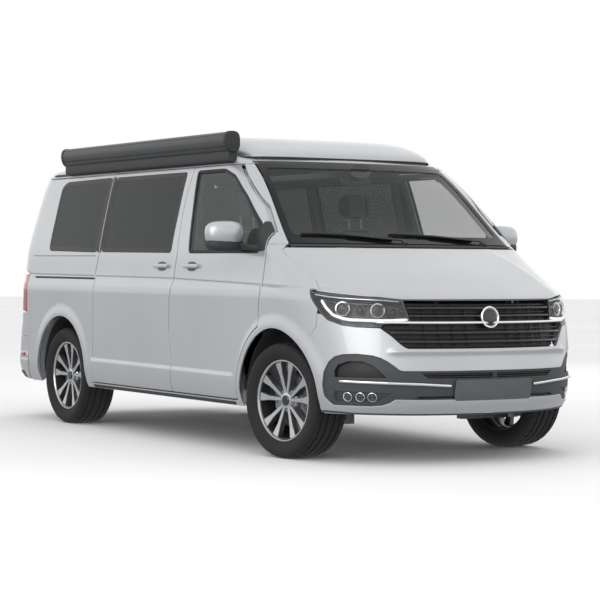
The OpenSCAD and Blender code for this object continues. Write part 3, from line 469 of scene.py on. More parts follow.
def ramp_node(nt, source, stops):
    r = nt.nodes.new("ShaderNodeValToRGB")
    while len(r.color_ramp.elements) < len(stops):
        r.color_ramp.elements.new(0.5)
    for e, (pos, col) in zip(r.color_ramp.elements, stops):
        e.position = pos
        e.color = (*col, 1) if len(col) == 3 else col
    nt.links.new(source, r.inputs["Fac"])
    return r


def bump_node(nt, height, strength, distance):
    b = nt.nodes.new("ShaderNodeBump")
    b.inputs["Strength"].default_value = strength
    b.inputs["Distance"].default_value = distance
    nt.links.new(height, b.inputs["Height"])
    return b


def finish_of(name, colour, rough, metal=0.0, vary=0.06, scale=12.0, grain=None, coat=0.0, sheen=0.0,
              rough_vary=0.08):
    """A material whose colour and roughness wander a little, with fine grain where grain = (scale, depth)."""
    m, nt, bsdf = new_material(name)
    no = noise_node(nt, scale)
    dark = tuple(max(0.0, c * (1 - vary)) for c in colour)
    light = tuple(min(1.0, c * (1 + vary)) for c in colour)
    nt.links.new(ramp_node(nt, no.outputs["Fac"], [(0.3, dark), (0.7, light)]).outputs["Color"],
                 bsdf.inputs["Base Color"])
    mr = nt.nodes.new("ShaderNodeMapRange")
    mr.inputs["To Min"].default_value = max(0.02, rough * (1 - rough_vary * 2))
    mr.inputs["To Max"].default_value = min(1.0, rough * (1 + rough_vary * 2))
    nt.links.new(no.outputs["Fac"], mr.inputs["Value"])
    nt.links.new(mr.outputs["Result"], bsdf.inputs["Roughness"])
    bsdf.inputs["Metallic"].default_value = metal
    bsdf.inputs["Coat Weight"].default_value = coat
    bsdf.inputs["Coat Roughness"].default_value = 0.04
    bsdf.inputs["Sheen Weight"].default_value = sheen
    if grain:
        g = noise_node(nt, grain[0], 2.0)
        nt.links.new(bump_node(nt, g.outputs["Fac"], 0.5, grain[1]).outputs["Normal"], bsdf.inputs["Normal"])
    return m


def paint_material(name, colour):
    """Metallic paint: flakes under a clear coat with a faint orange peel."""
    m, nt, bsdf = new_material(name)
    flake = noise_node(nt, 900.0, 1.0)
    soft = noise_node(nt, 1.4, 2.0)
    mix = nt.nodes.new("ShaderNodeMath")
    mix.operation = "MULTIPLY_ADD"
    mix.inputs[1].default_value = 0.35
    nt.links.new(flake.outputs["Fac"], mix.inputs[0])
    nt.links.new(soft.outputs["Fac"], mix.inputs[2])
    dark = tuple(c * 0.93 for c in colour)
    light = tuple(min(1, c * 1.05) for c in colour)
    nt.links.new(ramp_node(nt, mix.outputs["Value"], [(0.35, dark), (0.95, light)]).outputs["Color"],
                 bsdf.inputs["Base Color"])
    bsdf.inputs["Metallic"].default_value = 0.55
    bsdf.inputs["Roughness"].default_value = 0.36
    bsdf.inputs["Coat Weight"].default_value = 1.0
    bsdf.inputs["Coat Roughness"].default_value = 0.03
    peel = noise_node(nt, 60.0, 1.0)
    nt.links.new(bump_node(nt, peel.outputs["Fac"], 0.04, 0.0006).outputs["Normal"], bsdf.inputs["Normal"])
    return m


def glass_material(name, colour, alpha):
    """Tinted glass: a dark gloss face that lets part of the light through."""
    m, nt, bsdf = new_material(name)
    no = noise_node(nt, 1.5, 1.0)
    light = tuple(min(1.0, c * 1.2) for c in colour)
    nt.links.new(ramp_node(nt, no.outputs["Fac"], [(0.3, colour), (0.7, light)]).outputs["Color"],
                 bsdf.inputs["Base Color"])
    bsdf.inputs["Roughness"].default_value = 0.04
    bsdf.inputs["IOR"].default_value = 1.5
    bsdf.inputs["Alpha"].default_value = alpha
    bsdf.inputs["Coat Weight"].default_value = 0.6
    bsdf.inputs["Coat Roughness"].default_value = 0.02
    return m


PAINT = paint_material("paint_silver", (0.50, 0.512, 0.532))
TRIM = finish_of("trim_black", (0.022, 0.023, 0.024), 0.52, grain=(900, 0.0004))
GREY_TRIM = finish_of("trim_charcoal", (0.05, 0.053, 0.056), 0.5, grain=(700, 0.0005))
GLOSS_BLACK = finish_of("gloss_black", (0.012, 0.012, 0.013), 0.12, coat=0.7, rough_vary=0.2)
SEAL = finish_of("rubber_seal", (0.012, 0.012, 0.012), 0.62, grain=(500, 0.0003))
CHROME = finish_of("chrome", (0.86, 0.87, 0.88), 0.09, metal=1.0, vary=0.02, rough_vary=0.2)
SIDE_GLASS = glass_material("glass_privacy", (0.009, 0.013, 0.012), 0.82)
CAB_GLASS = glass_material("glass_cab", (0.045, 0.065, 0.06), 0.32)
SCREEN_GLASS = glass_material("glass_windscreen", (0.05, 0.062, 0.06), 0.18)
FRIT = finish_of("glass_black_border", (0.006, 0.007, 0.007), 0.1)
for mat in (SIDE_GLASS, FRIT):
    for name, value in (("Coat Weight", 0.0), ("Specular IOR Level", 0.25)):
        mat.node_tree.nodes["Principled BSDF"].inputs[name].default_value = value
UNDERBODY = finish_of("underbody", (0.035, 0.036, 0.038), 0.8, grain=(120, 0.001))
AWNING = finish_of("awning_anthracite", (0.052, 0.054, 0.057), 0.42, metal=0.35, grain=(1200, 0.0002),
                   coat=0.15)
TYRE = finish_of("tyre_rubber", (0.012, 0.012, 0.0125), 0.8, vary=0.2, scale=30, grain=(260, 0.0006))
ALLOY = finish_of("alloy_machined", (0.60, 0.61, 0.62), 0.27, metal=1.0, vary=0.03, scale=60)
ALLOY_GREY = finish_of("alloy_painted", (0.13, 0.132, 0.136), 0.4, metal=0.6, coat=0.3)
ALLOY_DARK = finish_of("alloy_dark", (0.035, 0.036, 0.038), 0.36, metal=0.4, coat=0.3)
STEEL = finish_of("steel_worn", (0.36, 0.36, 0.37), 0.42, metal=0.9, vary=0.2, scale=40)
CAST = finish_of("cast_metal", (0.16, 0.16, 0.165), 0.6, metal=0.6, vary=0.2, scale=25, grain=(300, 0.0008))
LENS = glass_material("lens_clear", (0.30, 0.31, 0.32), 0.10)
LAMP_DARK = finish_of("lamp_bezel", (0.045, 0.047, 0.05), 0.3, metal=0.4, coat=0.3)
LAMP_LIGHT = finish_of("lamp_light_guide", (0.82, 0.83, 0.84), 0.25, coat=0.5)
glow = LAMP_LIGHT.node_tree.nodes["Principled BSDF"].inputs
glow["Emission Color"].default_value, glow["Emission Strength"].default_value = (1, 1, 1, 1), 0.5
RED_LENS = finish_of("lens_red", (0.42, 0.012, 0.014), 0.12, coat=0.8)
AMBER = finish_of("lens_amber", (0.75, 0.25, 0.02), 0.2, coat=0.6)
BLANK = finish_of("blank_plate", (0.105, 0.108, 0.112), 0.45)
CANVAS = finish_of("canvas_grey", (0.17, 0.175, 0.18), 0.9, grain=(1400, 0.0008), sheen=0.3)
FABRIC = finish_of("seat_fabric", (0.045, 0.048, 0.052), 0.92, vary=0.15, scale=180, grain=(1600, 0.0012),
                   sheen=0.4)
FABRIC_LIGHT = finish_of("seat_fabric_insert", (0.10, 0.105, 0.11), 0.92, vary=0.2, scale=240,
                         grain=(1800, 0.0012), sheen=0.4)
DASH = finish_of("dashboard_plastic", (0.04, 0.043, 0.046), 0.66, grain=(500, 0.0009))
LIGHT_TRIM = finish_of("cabin_light_trim", (0.46, 0.46, 0.44), 0.75, grain=(400, 0.0006))
OAK = finish_of("cabinet_board", (0.42, 0.41, 0.39), 0.5, vary=0.08, scale=3)
CARPET = finish_of("carpet", (0.06, 0.062, 0.066), 0.95, vary=0.3, scale=300, grain=(900, 0.002), sheen=0.3)


# ---------------------------------------------------------------- camera, floor and light
def make_stage():
    yaw, pitch, roll = (math.radians(a) for a in (31.2, -0.95, 0.31))
    forward = Vector((math.cos(pitch) * math.sin(yaw), math.cos(pitch) * math.cos(yaw), math.sin(pitch)))
    right = Vector((math.cos(yaw), -math.sin(yaw), 0))
    up = right.cross(forward)
    x = math.cos(roll) * right + math.sin(roll) * up
    y = -math.sin(roll) * right + math.cos(roll) * up
    data = bpy.data.cameras.new("camera")
    cam = bpy.data.objects.new("camera", data)
    bpy.context.scene.collection.objects.link(cam)
    cam.matrix_world = Matrix((
        (x.x, y.x, -forward.x, -6.94), (x.y, y.y, -forward.y, -11.71), (x.z, y.z, -forward.z, 1.136),
        (0, 0, 0, 1)
    ))
    data.sensor_width = 36
    data.lens, data.shift_x, data.shift_y = 120.3, 1 / 300, -1 / 600
    data.clip_end = 500
    bpy.context.scene.camera = cam
    bpy.context.scene.view_settings.view_transform = "Standard"

    pale, nt, bsdf = new_material("floor_pale")
    no = noise_node(nt, 0.3, 2.0)
    nt.links.new(
        ramp_node(nt, no.outputs["Fac"],
                  [(0.3, (0.86, 0.86, 0.86)), (0.7, (0.9, 0.9, 0.9))]).outputs["Color"],
        bsdf.inputs["Base Color"],
    )
    bsdf.inputs["Roughness"].default_value = 0.9
    bsdf.inputs["Specular IOR Level"].default_value = 0.1
    me = bpy.data.meshes.new("floor")
    me.from_pydata([(-60, -60, 0), (60, -60, 0), (60, 60, 0), (-60, 60, 0)], [], [(0, 1, 2, 3)])
    floor = bpy.data.objects.new("floor", me)
    me.materials.append(pale)
    bpy.context.scene.collection.objects.link(floor)
    floor.visible_diffuse = False
    floor.visible_glossy = False

    world = bpy.data.worlds.new("studio")
    bpy.context.scene.world = world
    world.use_nodes = True
    nt = world.node_tree
    bg = nt.nodes["Background"]
    tex = nt.nodes.new("ShaderNodeTexCoord")
    sep = nt.nodes.new("ShaderNodeSeparateXYZ")
    nt.links.new(tex.outputs["Generated"], sep.inputs[0])
    sky = [(0.0, (0.46, 0.47, 0.48)), (0.02, (0.95, 0.95, 0.96)), (0.12, (1.1, 1.1, 1.1)),
           (0.5, (0.9, 0.9, 0.9))]
    ramp = ramp_node(nt, sep.outputs["Z"], sky)
    nt.links.new(ramp.outputs["Color"], bg.inputs["Color"])
    bg.inputs["Strength"].default_value = 1.05

    back_mat = bpy.data.materials.new("backdrop_white")
    back_mat.use_nodes = True
    bt = back_mat.node_tree
    bt.nodes.remove(bt.nodes["Principled BSDF"])
    em = bt.nodes.new("ShaderNodeEmission")
    em.inputs["Color"].default_value = (1, 1, 1, 1)
    em.inputs["Strength"].default_value = 1.0
    bt.links.new(em.outputs[0], bt.nodes["Material Output"].inputs["Surface"])
    n, radius = 64, 58
    round_it = [2 * math.pi * i / n for i in range(n)]
    verts = [(radius * math.cos(a), radius * math.sin(a), z) for z in (-0.5, 40) for a in round_it]
    verts.append((0, 0, 48))
    faces = [(i, (i + 1) % n, n + (i + 1) % n, n + i) for i in range(n)]
    faces += [(n + i, n + (i + 1) % n, 2 * n) for i in range(n)]
    me = bpy.data.meshes.new("backdrop")
    me.from_pydata(verts, [], faces)
    me.materials.append(back_mat)
    drop = bpy.data.objects.new("backdrop", me)
    bpy.context.scene.collection.objects.link(drop)
    for flag in ("visible_diffuse", "visible_glossy", "visible_transmission", "visible_volume_scatter",
                 "visible_shadow"):
        setattr(drop, flag, False)

    for name, place, size, power, aim in (
        ("key", (-7.2, -5.6, 4.2), 7.0, 250, (0, -0.5, 0.9)),
        ("top", (0, 0, 7.5), 7.0, 30, (0, 0, 0)),
        ("rim", (6.5, 5.5, 5.5), 4.0, 90, (0, 0.5, 0.8)),
    ):
        lamp = bpy.data.lights.new(name, "AREA")
        lamp.shape = "DISK"
        lamp.size = size
        lamp.energy = power
        ob = bpy.data.objects.new(name, lamp)
        ob.location = place
        ob.rotation_euler = (Vector(aim) - Vector(place)).to_track_quat("-Z", "Y").to_euler()
        bpy.context.scene.collection.objects.link(ob)
        ob.visible_camera = False
        ob.visible_glossy = name == "key"


make_stage()


# ---------------------------------------------------------------- outlines of the panels
def on_side(y, z):
    """Points at y on the side, as (s, z)."""
    y, z = np.broadcast_arrays(np.atleast_1d(np.asarray(y, float)), np.asarray(z, float))
    return np.stack([BODY.s_side(y, z), z], 1)


def on_end(x, z, front=True):
    """Points at x on the nose, or on the tail, as (s, z)."""
    x, z = np.broadcast_arrays(np.atleast_1d(np.asarray(x, float)), np.asarray(z, float))
    return np.stack([BODY.s_end(x, z, front), z], 1)


def side_loop(points, step=16, closed=True):
    """A drawing seen from the side, as (s, z)."""
    return on_side(*resample(points, step, closed).T)


def centre(z0, z1, n=20, front=True):
    """A line up the middle of the nose or the tail."""
    return on_end(0, np.linspace(z0, z1, n), front)


def level(x0, x1, z, step=16, front=True):
    """A level line on the nose or the tail."""
    return on_end(np.linspace(x0, x1, max(2, int(abs(x1 - x0) / step))), z, front)


def rear_centre(z0, z1, n=12):
    return centre(z0, z1, n, False)


def surface_at(x, z, front=True):
    """Point and normal on the nose or the tail."""
    p, n = BODY.lift(on_end(x, z, front))
    return p[0], n[0]


b_line = [
    [B_Y - 24, SILL_Z + 40], [B_Y - 22, CREASE_Z - 520], [B_Y + 16, CREASE_Z - 300],
    [B_Y + 12, CREASE_Z - 110], [B_Y - 18, CREASE_Z + 30], [B_Y - 46, BELT_Z],
    [B_Y - 28, BELT_Z + 0.4 * (RAIL_Z - BELT_Z)], [B_Y - 34, BELT_Z + 0.7 * (RAIL_Z - BELT_Z)],
    [B_Y - 60, RAIL_Z],
]
door_arc = [
    [AXLE_F + (ARCH_R + 42) * math.cos(a), ARCH_Z + (ARCH_R + 42) * math.sin(a)]
    for a in np.linspace(math.radians(66), 0.02, 14)
]
door = (
    [[HINGE_Y + 4, BELT_Z - 30], [HINGE_Y + 10, BELT_Z - 90], [HINGE_Y + 44, CREASE_Z - 145]]
    + door_arc
    + [[AXLE_F + ARCH_R + 42, SILL_Z + 40]]
    + b_line
    + [[HEADER_Y + 118, RAIL_Z], [COWL_Y + 611, RAIL_Z - 115], [COWL_Y + 400, COWL_Z + 229],
       [HINGE_Y + 31, COWL_Z + 66], [HINGE_Y + 12, BELT_Z + 30]]
)
slider = b_line + [[C_Y - 40, RAIL_Z], [C_Y - 40, BELT_Z], [C_Y, BELT_Z - 130], [C_Y, SILL_Z + 40]]
door_glass = soften([
    [B_Y - 206, BELT_Z], [B_Y - 120, WINDOW_TOP], [HEADER_Y + 247, WINDOW_TOP],
    [HEADER_Y + 97, WINDOW_TOP - 45],
    [COWL_Y + 540, WINDOW_TOP - 182], [COWL_Y + 316, COWL_Z + 112], [HINGE_Y + 88, BELT_Z],
], 26)
slider_glass = soften([[B_Y + 38, BELT_Z], [B_Y + 20, WINDOW_TOP], [C_Y - 84, WINDOW_TOP],
                       [C_Y - 66, BELT_Z + 8]], 36)
quarter_glass = soften([
    [C_Y + 2, BELT_Z + 8], [C_Y - 22, WINDOW_TOP], [Y_REAR - 802, WINDOW_TOP - 8],
    [Y_REAR - 732, WINDOW_TOP - 44], [Y_REAR - 712, BELT_Z + 22],
], 44)


def crease_line(y):
    """Height of the pressed line along the sides."""
    return np.interp(y, [-2000, -1400, -200, 930, 2060], [1011, 1021, 1049, 1056, 1065])


def side_relief(p):
    """Pressed line, arch lips and lower moulding of the sides, outwards in millimetres."""
    y, z = p[:, 1], p[:, 2]
    out = -5.0 * np.exp(-(((z - crease_line(y)) / 4.2) ** 2)) * np.clip((y + 2080) / 60, 0, 1)
    for axle in (AXLE_F, AXLE_R):
        r = np.hypot(y - axle, z - ARCH_Z)
        t = np.clip((r - ARCH_R - 18) / 74, 0, 1)
        out += 7.0 * (1 - t * t * (3 - 2 * t)) * np.clip((z - 330) / 60, 0, 1)
    ledge = np.interp(y, [-1100, 930], [470, 478])
    between_arches = np.clip((y - AXLE_F - 480) / 40, 0, 1) * np.clip((AXLE_R - 490 - y) / 40, 0, 1)
    t = np.clip((ledge + 16 - z) / 26, 0, 1)
    out += 8.0 * t * t * (3 - 2 * t) * np.clip((z - 300) / 60, 0, 1) * between_arches
    return out


def crease_points(y0, y1):
    """Points that carry the pressed line and the moulding in a triangulation."""
    y = np.arange(y0, y1, 14.0)
    rows = [np.stack([y, crease_line(y) + dz], 1) for dz in (-11, -6.5, -3.2, 0, 3.2, 6.5, 11)]
    low = y[(y > AXLE_F + 470) & (y < AXLE_R - 480)]
    ledge = np.interp(low, [-1100, 930], [470, 478])
    rows += [np.stack([low, ledge + dz], 1) for dz in (-16, -10, -4, 3, 9, 16, 22)]
    return np.concatenate(rows)


def build(name, outer, holes, mat, body="root", step=24, thick=20, depth=0, relief=None, extra=None,
          sides=(1,), joined=False, replaces=(), roll=ROLL, form=BODY):
    """One panel from its outline and holes in (s, z). sides: 1 is +X, -1 is -X; joined makes one of both."""
    uv, f = patch(outer, holes, step, extra)
    p, n = form.lift(uv, relief)
    made = []
    if joined:
        p, n, f = weld(p, n, f)
        sides = (1,)
    for side in sides:
        q = (p, n, f) if side > 0 else other_side(p, n, f)
        v, vn, vf = shell(*q, depth=depth, thick=thick, roll=roll)
        label = name if len(sides) == 1 else f"{name}_{'left' if side > 0 else 'right'}"
        target = body if isinstance(body, str) else body[side]
        made.append(link(label, v, vf, mat, vn, body=target))
    if replaces:
        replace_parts(made[0], *replaces)
    return made


def nose(points, step=14, closed=True):
    """A line on the nose as (s, z). A first number below 0 is y on the side, else it is x on the front."""
    return resample([(on_end if v >= 0 else on_side)(v, z)[0] for v, z in points], step, closed)


def tail_x(z):
    """Half width of the tailgate at each height."""
    return np.interp(
        z, [TAILGATE_Z, LAMP_LOW, LAMP_HIGH, BELT_Z, RAIL_Z - 10],
        [TAILGATE_W / 2 - 20, TAILGATE_W / 2, TAILGATE_W / 2, TAILGATE_W / 2 - 10, HALF_W - TUMBLE - 112],
    )


def tail_line(z0, z1, out, n=20):
    """The tailgate's edge, moved out towards the sides."""
    z = np.linspace(z0, z1, n)
    return on_end(tail_x(z) + out, z, False)


# ---------------------------------------------------------------- sides: walls, doors and their glass
BIT = GAP / 2 + ROLL
WING_REAR = AXLE_F + ARCH_R + 41
z = np.linspace(RAIL_Z - 2, COWL_Z + 2, 34)
share = (z - COWL_Z - 2) / (RAIL_Z + 21 - COWL_Z - 2)
screen_edge = on_end(HALF_W - 142 - 115 * share, z)
lamp_notch = side_loop([[LAMP_Y - 3, LAMP_LOW - 3], [LAMP_Y - 3, LAMP_HIGH + 3]], closed=False)
body_outer = np.concatenate([
    side_loop([[WING_REAR + 4, SILL_Z + 3], [REAR_BUMPER_Y - 3, SILL_Z + 3],
               [REAR_BUMPER_Y - 3, TAILGATE_Z - 3]], closed=False),
    tail_line(TAILGATE_Z - 3, LAMP_LOW - 3, GAP / 2 + 3, 10),
    lamp_notch,
    tail_line(LAMP_HIGH + 3, RAIL_Z - 2, GAP / 2 + 3, 40),
    screen_edge,
    [[screen_edge[-1][0], WING_TOP + 4]],
    side_loop([[HINGE_Y + 60, WING_TOP + 4], [HINGE_Y + 60, 900], [WING_REAR + 4, 620]], closed=False),
])
arch_hole = side_loop(ring(AXLE_R, ARCH_Z, ARCH_R + ROLL), 30)
door_hole, slider_hole = (side_loop(grow(d, BIT)) for d in (door, slider))
quarter_hole = side_loop(grow(quarter_glass, BIT - 2))
slider_window_hole = side_loop(grow(slider_glass, BIT - 2))
side_points = on_side(*crease_points(-1380, 2040).T)

for side, tag in SIDES:
    holes = [door_hole, slider_window_hole if side > 0 else slider_hole, quarter_hole, arch_hole]
    build(f"side_skin_{tag}", body_outer, holes, PAINT, relief=side_relief,
          extra=side_points, sides=(side,), replaces=[f"body_side_{tag}"])
    inner = [side_loop(grow(door, -37)),
             side_loop(grow(slider, -37)) if side < 0 else side_loop(slider_glass)]
    build(f"side_frame_{tag}", body_outer,
          inner + [side_loop(quarter_glass), side_loop(ring(AXLE_R, ARCH_Z, ARCH_R + 12), 30)],
          PAINT, step=60, depth=23, thick=34, sides=(side,))

# doors: outer skin, inner panel and glass
for side, tag in SIDES:
    body = f"front_door_{tag}"
    build(f"door_skin_{tag}", side_loop(grow(door, -BIT)), [side_loop(grow(door_glass, ROLL))], PAINT, body,
          relief=side_relief, extra=side_points, sides=(side,), replaces=[f"door_{tag}"])
    build(f"door_card_{tag}", side_loop(grow(door, -46)), [side_loop(grow(door_glass, 1))], DASH, body,
          step=60, depth=21, thick=38, sides=(side,))
    build(f"door_pane_{tag}", side_loop(grow(door_glass, -1)), [], CAB_GLASS, body, step=40, depth=7, thick=5,
          sides=(side,), roll=0.8, replaces=[f"door_glass_{tag}"])
    build(f"door_seal_{tag}", side_loop(grow(door_glass, 3), 10), [side_loop(grow(door_glass, -13), 10)],
          SEAL, body, step=12, depth=-1.5, thick=9, sides=(side,), roll=2)
build("slider_skin", side_loop(grow(slider, -BIT)), [side_loop(grow(slider_glass, ROLL))], PAINT,
      relief=side_relief, extra=side_points, sides=(-1,), replaces=["sliding_door"])
build("slider_card", side_loop(grow(slider, -46)), [side_loop(grow(slider_glass, 1))], LIGHT_TRIM,
      step=60, depth=21, thick=38, sides=(-1,))
for name, shape in (("quarter", quarter_glass), ("slider", slider_glass)):
    build(f"{name}_pane", side_loop(grow(shape, -1)), [], SIDE_GLASS, step=40, depth=1.5, thick=5,
          sides=(1, -1), roll=0.8)
    build(f"{name}_border", side_loop(grow(shape, -1.5), 12), [side_loop(grow(shape, -30), 12)], FRIT,
          step=20, depth=0.6, thick=2, sides=(1, -1), roll=0.6)
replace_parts(bpy.data.objects["quarter_pane_left"], "side_windows")
for name, shape in (
    ("front", [[C_Y - 69, BELT_Z + 6], [C_Y - 87, WINDOW_TOP + 3], [C_Y - 46.5, WINDOW_TOP + 3],
               [C_Y - 46.5, BELT_Z + 6]]),
    ("rear", [[C_Y - 33.5, BELT_Z + 6], [C_Y - 33.5, WINDOW_TOP + 3], [C_Y - 19, WINDOW_TOP + 3],
              [C_Y + 5, BELT_Z + 10]]),
):
    build(f"pillar_cover_{name}", side_loop(shape, 12), [], FRIT, step=30, depth=-0.7, thick=2.5,
          sides=(1, -1), roll=0.8)

# ---------------------------------------------------------------- nose
HEAD = nose([(524, 945), (620, 955), (736, 966), (830, 979), (-1879, 990), (-1838, 1007), (-1889, 934),
             (-1925, 890), (-1950, 860), (-1990, 828), (-2073, 800), (760, 790), (654, 788), (640, 806),
             (500, 822)])
BONNET_EDGE = nose([(-1902, 1000), (-1832, 1053), (-1729, 1109), (-1646, 1149), (-1568, 1189), (-1500, 1232)],
                   14, False)
INSERT = [(0, 545), (560, 545), (579, 550), (606, 575), (635, 600), (665, 619), (701, 632), (763, 640),
          (815, 636), (845, 622), (-2012, 590), (-1985, 530), (-1978, 450), (-1988, 385), (-2015, 352),
          (839, 339), (700, 336), (647, 342), (615, 358), (591, 377), (0, 379)]


def nose_relief(p):
    """Creases of the bonnet, the step over the grille and the shoulder that runs into the pressed line."""
    x, y, z = np.abs(p[:, 0]), p[:, 1], p[:, 2]
    out = side_relief(p) * np.clip((np.abs(p[:, 0]) - 700) / 150, 0, 1)
    ridge = 640 - 0.34 * (z - 960)
    t = np.clip((x - ridge) / 46, -1, 1)
    rise = np.clip((z - 952) / 40, 0, 1) * np.clip((1262 - z) / 80, 0, 1)
    inward = np.clip(1 + (x - ridge) / 240, 0, 1) ** 2
    out += 9.0 * (1 - t * t) ** 2 * (t > 0) * rise + 9.0 * inward * (t <= 0) * rise
    return out


wing_points = on_side(*crease_points(-2060, -1380).T)
door_front = nose([(HINGE_Y + 30, WING_TOP), (HINGE_Y + 40, 900), (HINGE_Y + 300, 700),
                   (WING_REAR + 30, 560)], 16, False)
wing_outer = np.concatenate([
    on_side(WING_REAR - 2, SILL_Z + 3), door_front[::-1],
    nose([(HINGE_Y - 4, WING_TOP), (-1478, WING_TOP), (-1492, 1247)], 14, False),
    BONNET_EDGE[::-1] + np.array([GAP / 2, 0]), nose([(-1838, 1010), (-1889, 934), (-1928, 887)], 14, False),
    nose([(-1923, 862), (-1924, 790), (-1897, 752), (-1848, 703), (-1757, 638), (-1700, 400),
          (-1250, SILL_Z + 3)], 14, False),
])
front_arch = side_loop(ring(AXLE_F, ARCH_Z, ARCH_R + ROLL), 30)
build("wing", wing_outer, [door_hole, front_arch], PAINT, step=20, relief=nose_relief, extra=wing_points,
      sides=(1, -1), thick=10, replaces=["front_wings"])

bonnet_outer = np.concatenate([
    centre(1243, BONNET_LOW - 5, 24),
    nose([(40, 951), (524, 951), (620, 961), (736, 972), (830, 985), (-1890, 996)], 14, False),
    BONNET_EDGE - np.array([GAP / 2, 0]),
    nose([(-1502, 1243), (700, 1243), (30, 1243)], 14, False),
])
build("bonnet_skin", bonnet_outer, [], PAINT, "bonnet", step=16, relief=nose_relief, joined=True, thick=14,
      replaces=["bonnet"])

insert_edge = nose([(12, 545)] + INSERT[1:-1] + [(12, 379)], 14, False)
bumper_outer = np.concatenate([
    centre(666, 545, 6), insert_edge, centre(379, SILL_Z + 12, 6),
    nose([(40, SILL_Z + 12), (820, SILL_Z + 12), (-1960, SILL_Z + 12), (-1900, 330)], 14, False),
    nose([(-1850, 500), (-1760, 636), (-1854, 705), (-1903, 752), (-1931, 790), (-1929, 862)], 14, False),
    nose([(-1955, 856), (-1992, 824), (-2073, 796), (760, 786), (657, 782), (609, 738), (563, 688),
          (545, 674), (526, 667), (40, 666)], 14, False),
])


def bumper_relief(p):
    """Flares round the corner inserts, the ledge below the grille and the chin."""
    x, z = np.abs(p[:, 0]), p[:, 2]
    out = side_relief(p) * np.clip((x - 780) / 100, 0, 1)
    out += 10 * np.exp(-(((z - 652) / 16) ** 2)) * np.clip((640 - x) / 60, 0, 1)
    out += 9 * np.exp(-(((z - 356) / 30) ** 2)) * np.clip((560 - x) / 90, 0, 1)
    return out


build("bumper_skin", bumper_outer, [front_arch], PAINT, step=20, relief=bumper_relief, joined=True, thick=22,
      replaces=["front_bumper"])
MESH = finish_of("intake_mesh", (0.010, 0.010, 0.011), 0.5, coat=0.1)
insert_half = np.concatenate([centre(379, 545, 8), insert_edge])
openings = [
    nose([(12, 532), (470, 532), (430, 498), (12, 498)]),
    nose([(12, 400), (300, 400), (470, 396), (500, 380), (12, 386)]),
    nose([(660, 528), (700, 575), (745, 598), (800, 598), (838, 575), (850, 540), (850, 500), (640, 500)]),
    nose([(600, 418), (664, 368), (700, 356), (830, 356), (846, 380), (846, 424)]),
]
build("bumper_insert", insert_half, openings, GREY_TRIM, step=22, joined=True, depth=8, thick=14)
build("intake_mesh", insert_half, [], MESH, step=40, joined=True, depth=34, thick=6)


def strip(name, points, width, high, mat, lift=0.0, form=BODY, mirror=True, body="root", ends=True, side=1):
    """A rounded bar that follows the body through (s, z) points: width across, high above the surface."""
    uv = np.array(points, float)
    p, n = form.lift(uv)
    t = np.gradient(p, axis=0)
    t /= np.linalg.norm(t, axis=1)[:, None]
    b = np.cross(n, t)
    k = 12
    a = np.linspace(0, 2 * np.pi, k, endpoint=False)
    power = 2 / (2.2 * 1.6)
    cx = np.sign(np.cos(a)) * np.abs(np.cos(a)) ** power * width / 2
    cy = np.sign(np.sin(a)) * np.abs(np.sin(a)) ** power * high / 2
    size = np.ones(len(p))
    if ends:
        size[0] = size[-1] = 0.55
    v = (p[:, None] + b[:, None] * (cx[None, :, None] * size[:, None, None])
         + n[:, None] * (lift + cy[None, :, None] * size[:, None, None]))
    faces = tube(len(p), k)
    v = v.reshape(-1, 3)
    if side < 0:
        v = v * [-1, 1, 1]
        faces = [f[::-1] for f in faces]
    if mirror:
        count = len(v)
        v = np.concatenate([v, v * [-1, 1, 1]])
        faces += [tuple(i + count for i in f)[::-1] for f in faces]
    return link(name, v, faces, mat, body=body)


def across(z, x, n=60, z_end=None):
    """Level points on the nose from -x to x."""
    xs = np.linspace(-x, x, n)
    zs = np.full(n, float(z)) if z_end is None else z + (z_end - z) * (np.abs(xs) / x) ** 2
    return on_end(xs, zs)


# grille: mesh behind, level slats, a bright bar and a plain round cap
grille_edge = nose([(526, 671), (545, 676), (563, 688), (609, 738), (655, 782), (684, 808),
                    (500, 818), (512, 880), (521, 941), (20, 941)], 14, False)
grille_outer = np.concatenate([centre(942, 672, 14), grille_edge])
build("grille_back", grille_outer, [], MESH, step=40, joined=True, depth=46, thick=6, replaces=["grille"])
for k, (z, x) in enumerate(((923, 516), (900, 514), (877, 510), (855, 508), (832, 500), (784, 640),
                            (759, 618), (733, 596), (708, 574), (684, 548))):
    strong = k in (1, 3, 6, 8)
    strip(f"grille_slat_{k}", across(z, x), 12 if strong else 5, 22 if strong else 14, GLOSS_BLACK,
          lift=-16 if strong else -30, mirror=False)
strip("grille_bright_bar", across(815, 676, z_end=817), 15, 16, CHROME, lift=-3, mirror=False)
for k, x in enumerate((-420, -330, -240, -150, 150, 240, 330, 420)):
    strip(f"grille_rib_{k}", on_end(x, np.linspace(680, 935, 12)), 5, 10, MESH, lift=-34, mirror=False)


def harden(ob, degrees=32):
    """Marks the edges that turn more than degrees as sharp."""
    bm = bmesh.new()
    bm.from_mesh(ob.data)
    for e in bm.edges:
        if len(e.link_faces) == 2 and e.calc_face_angle(0.0) > math.radians(degrees):
            e.smooth = False
    bm.to_mesh(ob.data)
    bm.free()
    return ob


def basis(axis):
    a = np.array(axis, float)
    a /= np.linalg.norm(a)
    u = np.cross(a, [0, 0, 1.0] if abs(a[2]) < 0.9 else [1.0, 0, 0])
    u /= np.linalg.norm(u)
    return a, u, np.cross(a, u)


def lathe(name, profile, at, axis, mat, n=48, body="root", closed=False, sharp=32):
    """A turned piece: profile is (radius, height along the axis)."""
    prof = np.array(profile, float)
    a, u, w = basis(axis)
    t = np.linspace(0, 2 * np.pi, n, endpoint=False)
    rim = np.cos(t)[:, None] * u + np.sin(t)[:, None] * w
    v = np.array(at, float) + prof[:, 1][:, None, None] * a + prof[:, 0][:, None, None] * rim[None]
    return harden(link(name, v.reshape(-1, 3), tube(len(prof), n, not closed, closed), mat, body=body), sharp)


